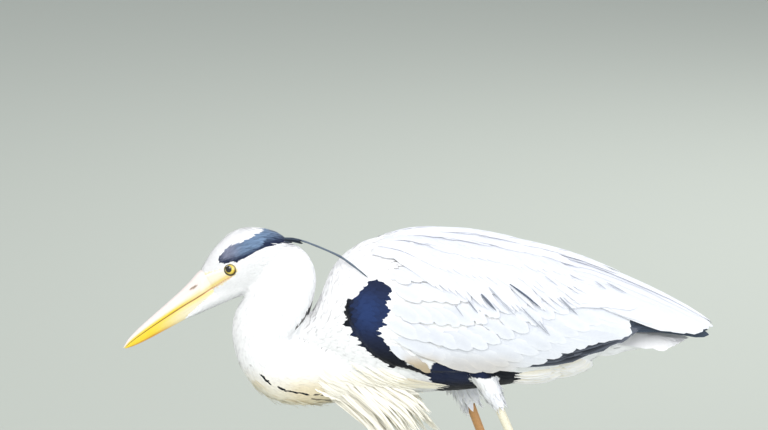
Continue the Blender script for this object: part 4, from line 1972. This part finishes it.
def leg_shells(name):
    """A leg's closed forms from the thigh to the toes."""
    side, leg = SIDES[name], LEGS[name]
    hip, knee, ankle, foot = (np.array((x, side * out, z), float) for x, out, z in leg.values())
    start = knee + unit(hip - knee) * LEG_SUNK
    sole = foot + (0, 0, FOOT_HEIGHT)
    shells = [
        closed_tube(plated([start, ankle], TIBIA_RADII, LEG_SIDES, (-1, 0, 0))),
        closed_tube(plated([ankle, sole], TARSUS_RADII, LEG_SIDES, (-1, 0, 0))),
        ball(ankle, ANKLE_RADII, BALL_RINGS, TOE_SIDES),
        ball(foot + (0, 0, PAD_RADII[2]), PAD_RADII, BALL_RINGS, TOE_SIDES),
    ]
    for _, heading, length, joints in TOES:
        share = np.linspace(0, 1, TOE_RINGS)
        knuckle = 1 + KNUCKLE * np.cos(2 * math.pi * joints * share)
        radius = (TOE_RADII[0] + (TOE_RADII[1] - TOE_RADII[0]) * share) * knuckle
        line = foot + toe_way(heading, side) * length * share[:, None]
        line = line + np.array((0, 0, TOE_BED)) * radius[:, None]
        rings = plated(line, radius, TOE_SIDES, (0, 0, 1), TOE_PLATE_DEPTH)
        rings[..., 2] = np.maximum(rings[..., 2], SOLE)
        shells.append(closed_tube(rings))
    return shells


def scaly_finish(name):
    """Horny scales: their own tint, darker in the joints between small plates."""
    made = new_finish(name, {"Roughness": 0.5, "Coat Weight": 0.1})
    place = wired(made, "ShaderNodeTexCoord", {}).outputs["Object"]
    scales = wired(made, "ShaderNodeTexVoronoi", {"Vector": place, "Scale": 620}, feature="DISTANCE_TO_EDGE")
    joint = shades(made, scales.outputs["Distance"], 0.72, 1, full=0.16)
    tint_by(made, joint)
    raise_by(made, joint, 0.5, 0.25)
    return made


leg_finish = scaly_finish("leg_scales")
claw_finish = horn_finish("claw_horn", 0.35, 0.3)
for name, side in SIDES.items():
    leg = grown_together(leg_shells(name), f"{name}_leg_skin", LEG_VOXEL, LEG_ROUNDS)
    x, y, z = points_of(leg).T
    joint = np.exp(-(((z - LEGS[name]["ankle"][2]) / JOINT_REACH) ** 2)) + fall(2, 14, z)
    stain(leg.data, mixed(*LEG_TINTS[name], np.clip(0.75 * joint, 0, 1)))
    finished(leg, leg_finish, "leg_skin", f"{name}_shank", f"{name}_tarsus", f"{name}_foot")

    foot = np.array((LEGS[name]["foot"][0], side * LEGS[name]["foot"][1], 0.0))
    for toe, heading, length, _ in TOES:
        share = np.linspace(0, 1, CLAW_RINGS)
        reach = length - CLAW_SUNK + (CLAW_LENGTH + CLAW_SUNK) * share[:, None]
        line = foot + toe_way(heading, side) * reach
        line[:, 2] = CLAW_RADIUS + 0.9 - 0.6 * share - 1.9 * share**2 + 0.6 * np.sin(math.pi * share)
        rings = tube_rings(line, CLAW_RADIUS * np.interp(share, *zip(*CLAW_TAPER)), CLAW_SIDES)
        rings[..., 2] = np.maximum(rings[..., 2], 0.1)
        points, triangles = closed_tube(rings)
        place = np.append(np.repeat(share, CLAW_SIDES), (0, 1))
        tints = mixed(CLAW_DARK, CLAW_TIP, step(0.4, 1, place))
        grain = {"grain_along": CLAW_LENGTH * place, "grain_across": points[:, 2] * 2}
        claw = piece(f"{name}_{toe}_claw_horn", points, triangles, tints, None, grain)
        finished(claw, claw_finish, "claw_horn", f"{name}_{toe}_claw")

# ---------- Floor, light and camera ----------
# The model stands on a pale studio floor under broad soft lamps, and is seen from its left side, a little
# from above.
FLOOR_RADIUS = 15
FLOOR_SIDES = 96
FLOOR_GREY = (0.47, 0.5, 0.45, 1)
SKY = (0.93, 0.96, 1.0, 1)
SKY_STRENGTH = 0.7
LAMP_AIM = Vector((0, 0, 0.4))
CAMERA_TARGET = Vector((-0.0408, 0, 0.503))
CAMERA_DISTANCE = 6
CAMERA_FALL = math.radians(12)
FRAME_WIDTH = 0.9216
SENSOR = 36
# name, place, size, watts and colour
LAMPS = (
    ("key_lamp", (-1.3, -3.0, 3.0), 2.8, 94, (1, 0.98, 0.95)),
    ("fill_lamp", (2.6, -2.6, 1.4), 2.6, 40, (0.93, 0.96, 1)),
    ("rim_lamp", (1.2, 2.8, 2.6), 1.8, 60, (1, 1, 1)),
    ("low_lamp", (0.5, -3.4, 1.1), 1.8, 13, (1, 0.99, 0.96)),
)

angles = ring_angles(FLOOR_SIDES)
rim = np.column_stack([np.cos(angles), np.sin(angles), 0 * angles]) * FLOOR_RADIUS / MM
k = np.arange(FLOOR_SIDES)
fan = np.column_stack([k, np.roll(k, -1), np.full(FLOOR_SIDES, FLOOR_SIDES)])
floor = piece("floor", np.vstack([rim, (0, 0, 0)]), fan)
floor.data.materials.append(new_finish("studio_floor", {"Base Color": FLOOR_GREY, "Roughness": 0.9}))

world = bpy.data.worlds.new("studio")
world.use_nodes = True
world.node_tree.nodes["Background"].inputs["Color"].default_value = SKY
world.node_tree.nodes["Background"].inputs["Strength"].default_value = SKY_STRENGTH
bpy.context.scene.world = world

for name, place, size, watts, colour in LAMPS:
    light = bpy.data.lights.new(name, "AREA")
    light.shape = "DISK"
    light.size = size
    light.energy = watts
    light.color = colour
    lamp = bpy.data.objects.new(name, light)
    lamp.location = place
    lamp.rotation_euler = (LAMP_AIM - Vector(place)).to_track_quat("-Z", "Y").to_euler()
    bpy.context.scene.collection.objects.link(lamp)

lens = bpy.data.cameras.new("camera")
lens.sensor_width = SENSOR
lens.lens = SENSOR * CAMERA_DISTANCE / FRAME_WIDTH
lens.clip_end = 60
camera = bpy.data.objects.new("camera", lens)
view_from = Vector((0, -math.cos(CAMERA_FALL), math.sin(CAMERA_FALL)))
camera.location = CAMERA_TARGET + CAMERA_DISTANCE * view_from
camera.rotation_euler = (math.radians(90) - CAMERA_FALL, 0, 0)
bpy.context.scene.collection.objects.link(camera)
bpy.context.scene.camera = camera
bpy.context.scene.view_settings.view_transform = "Standard"
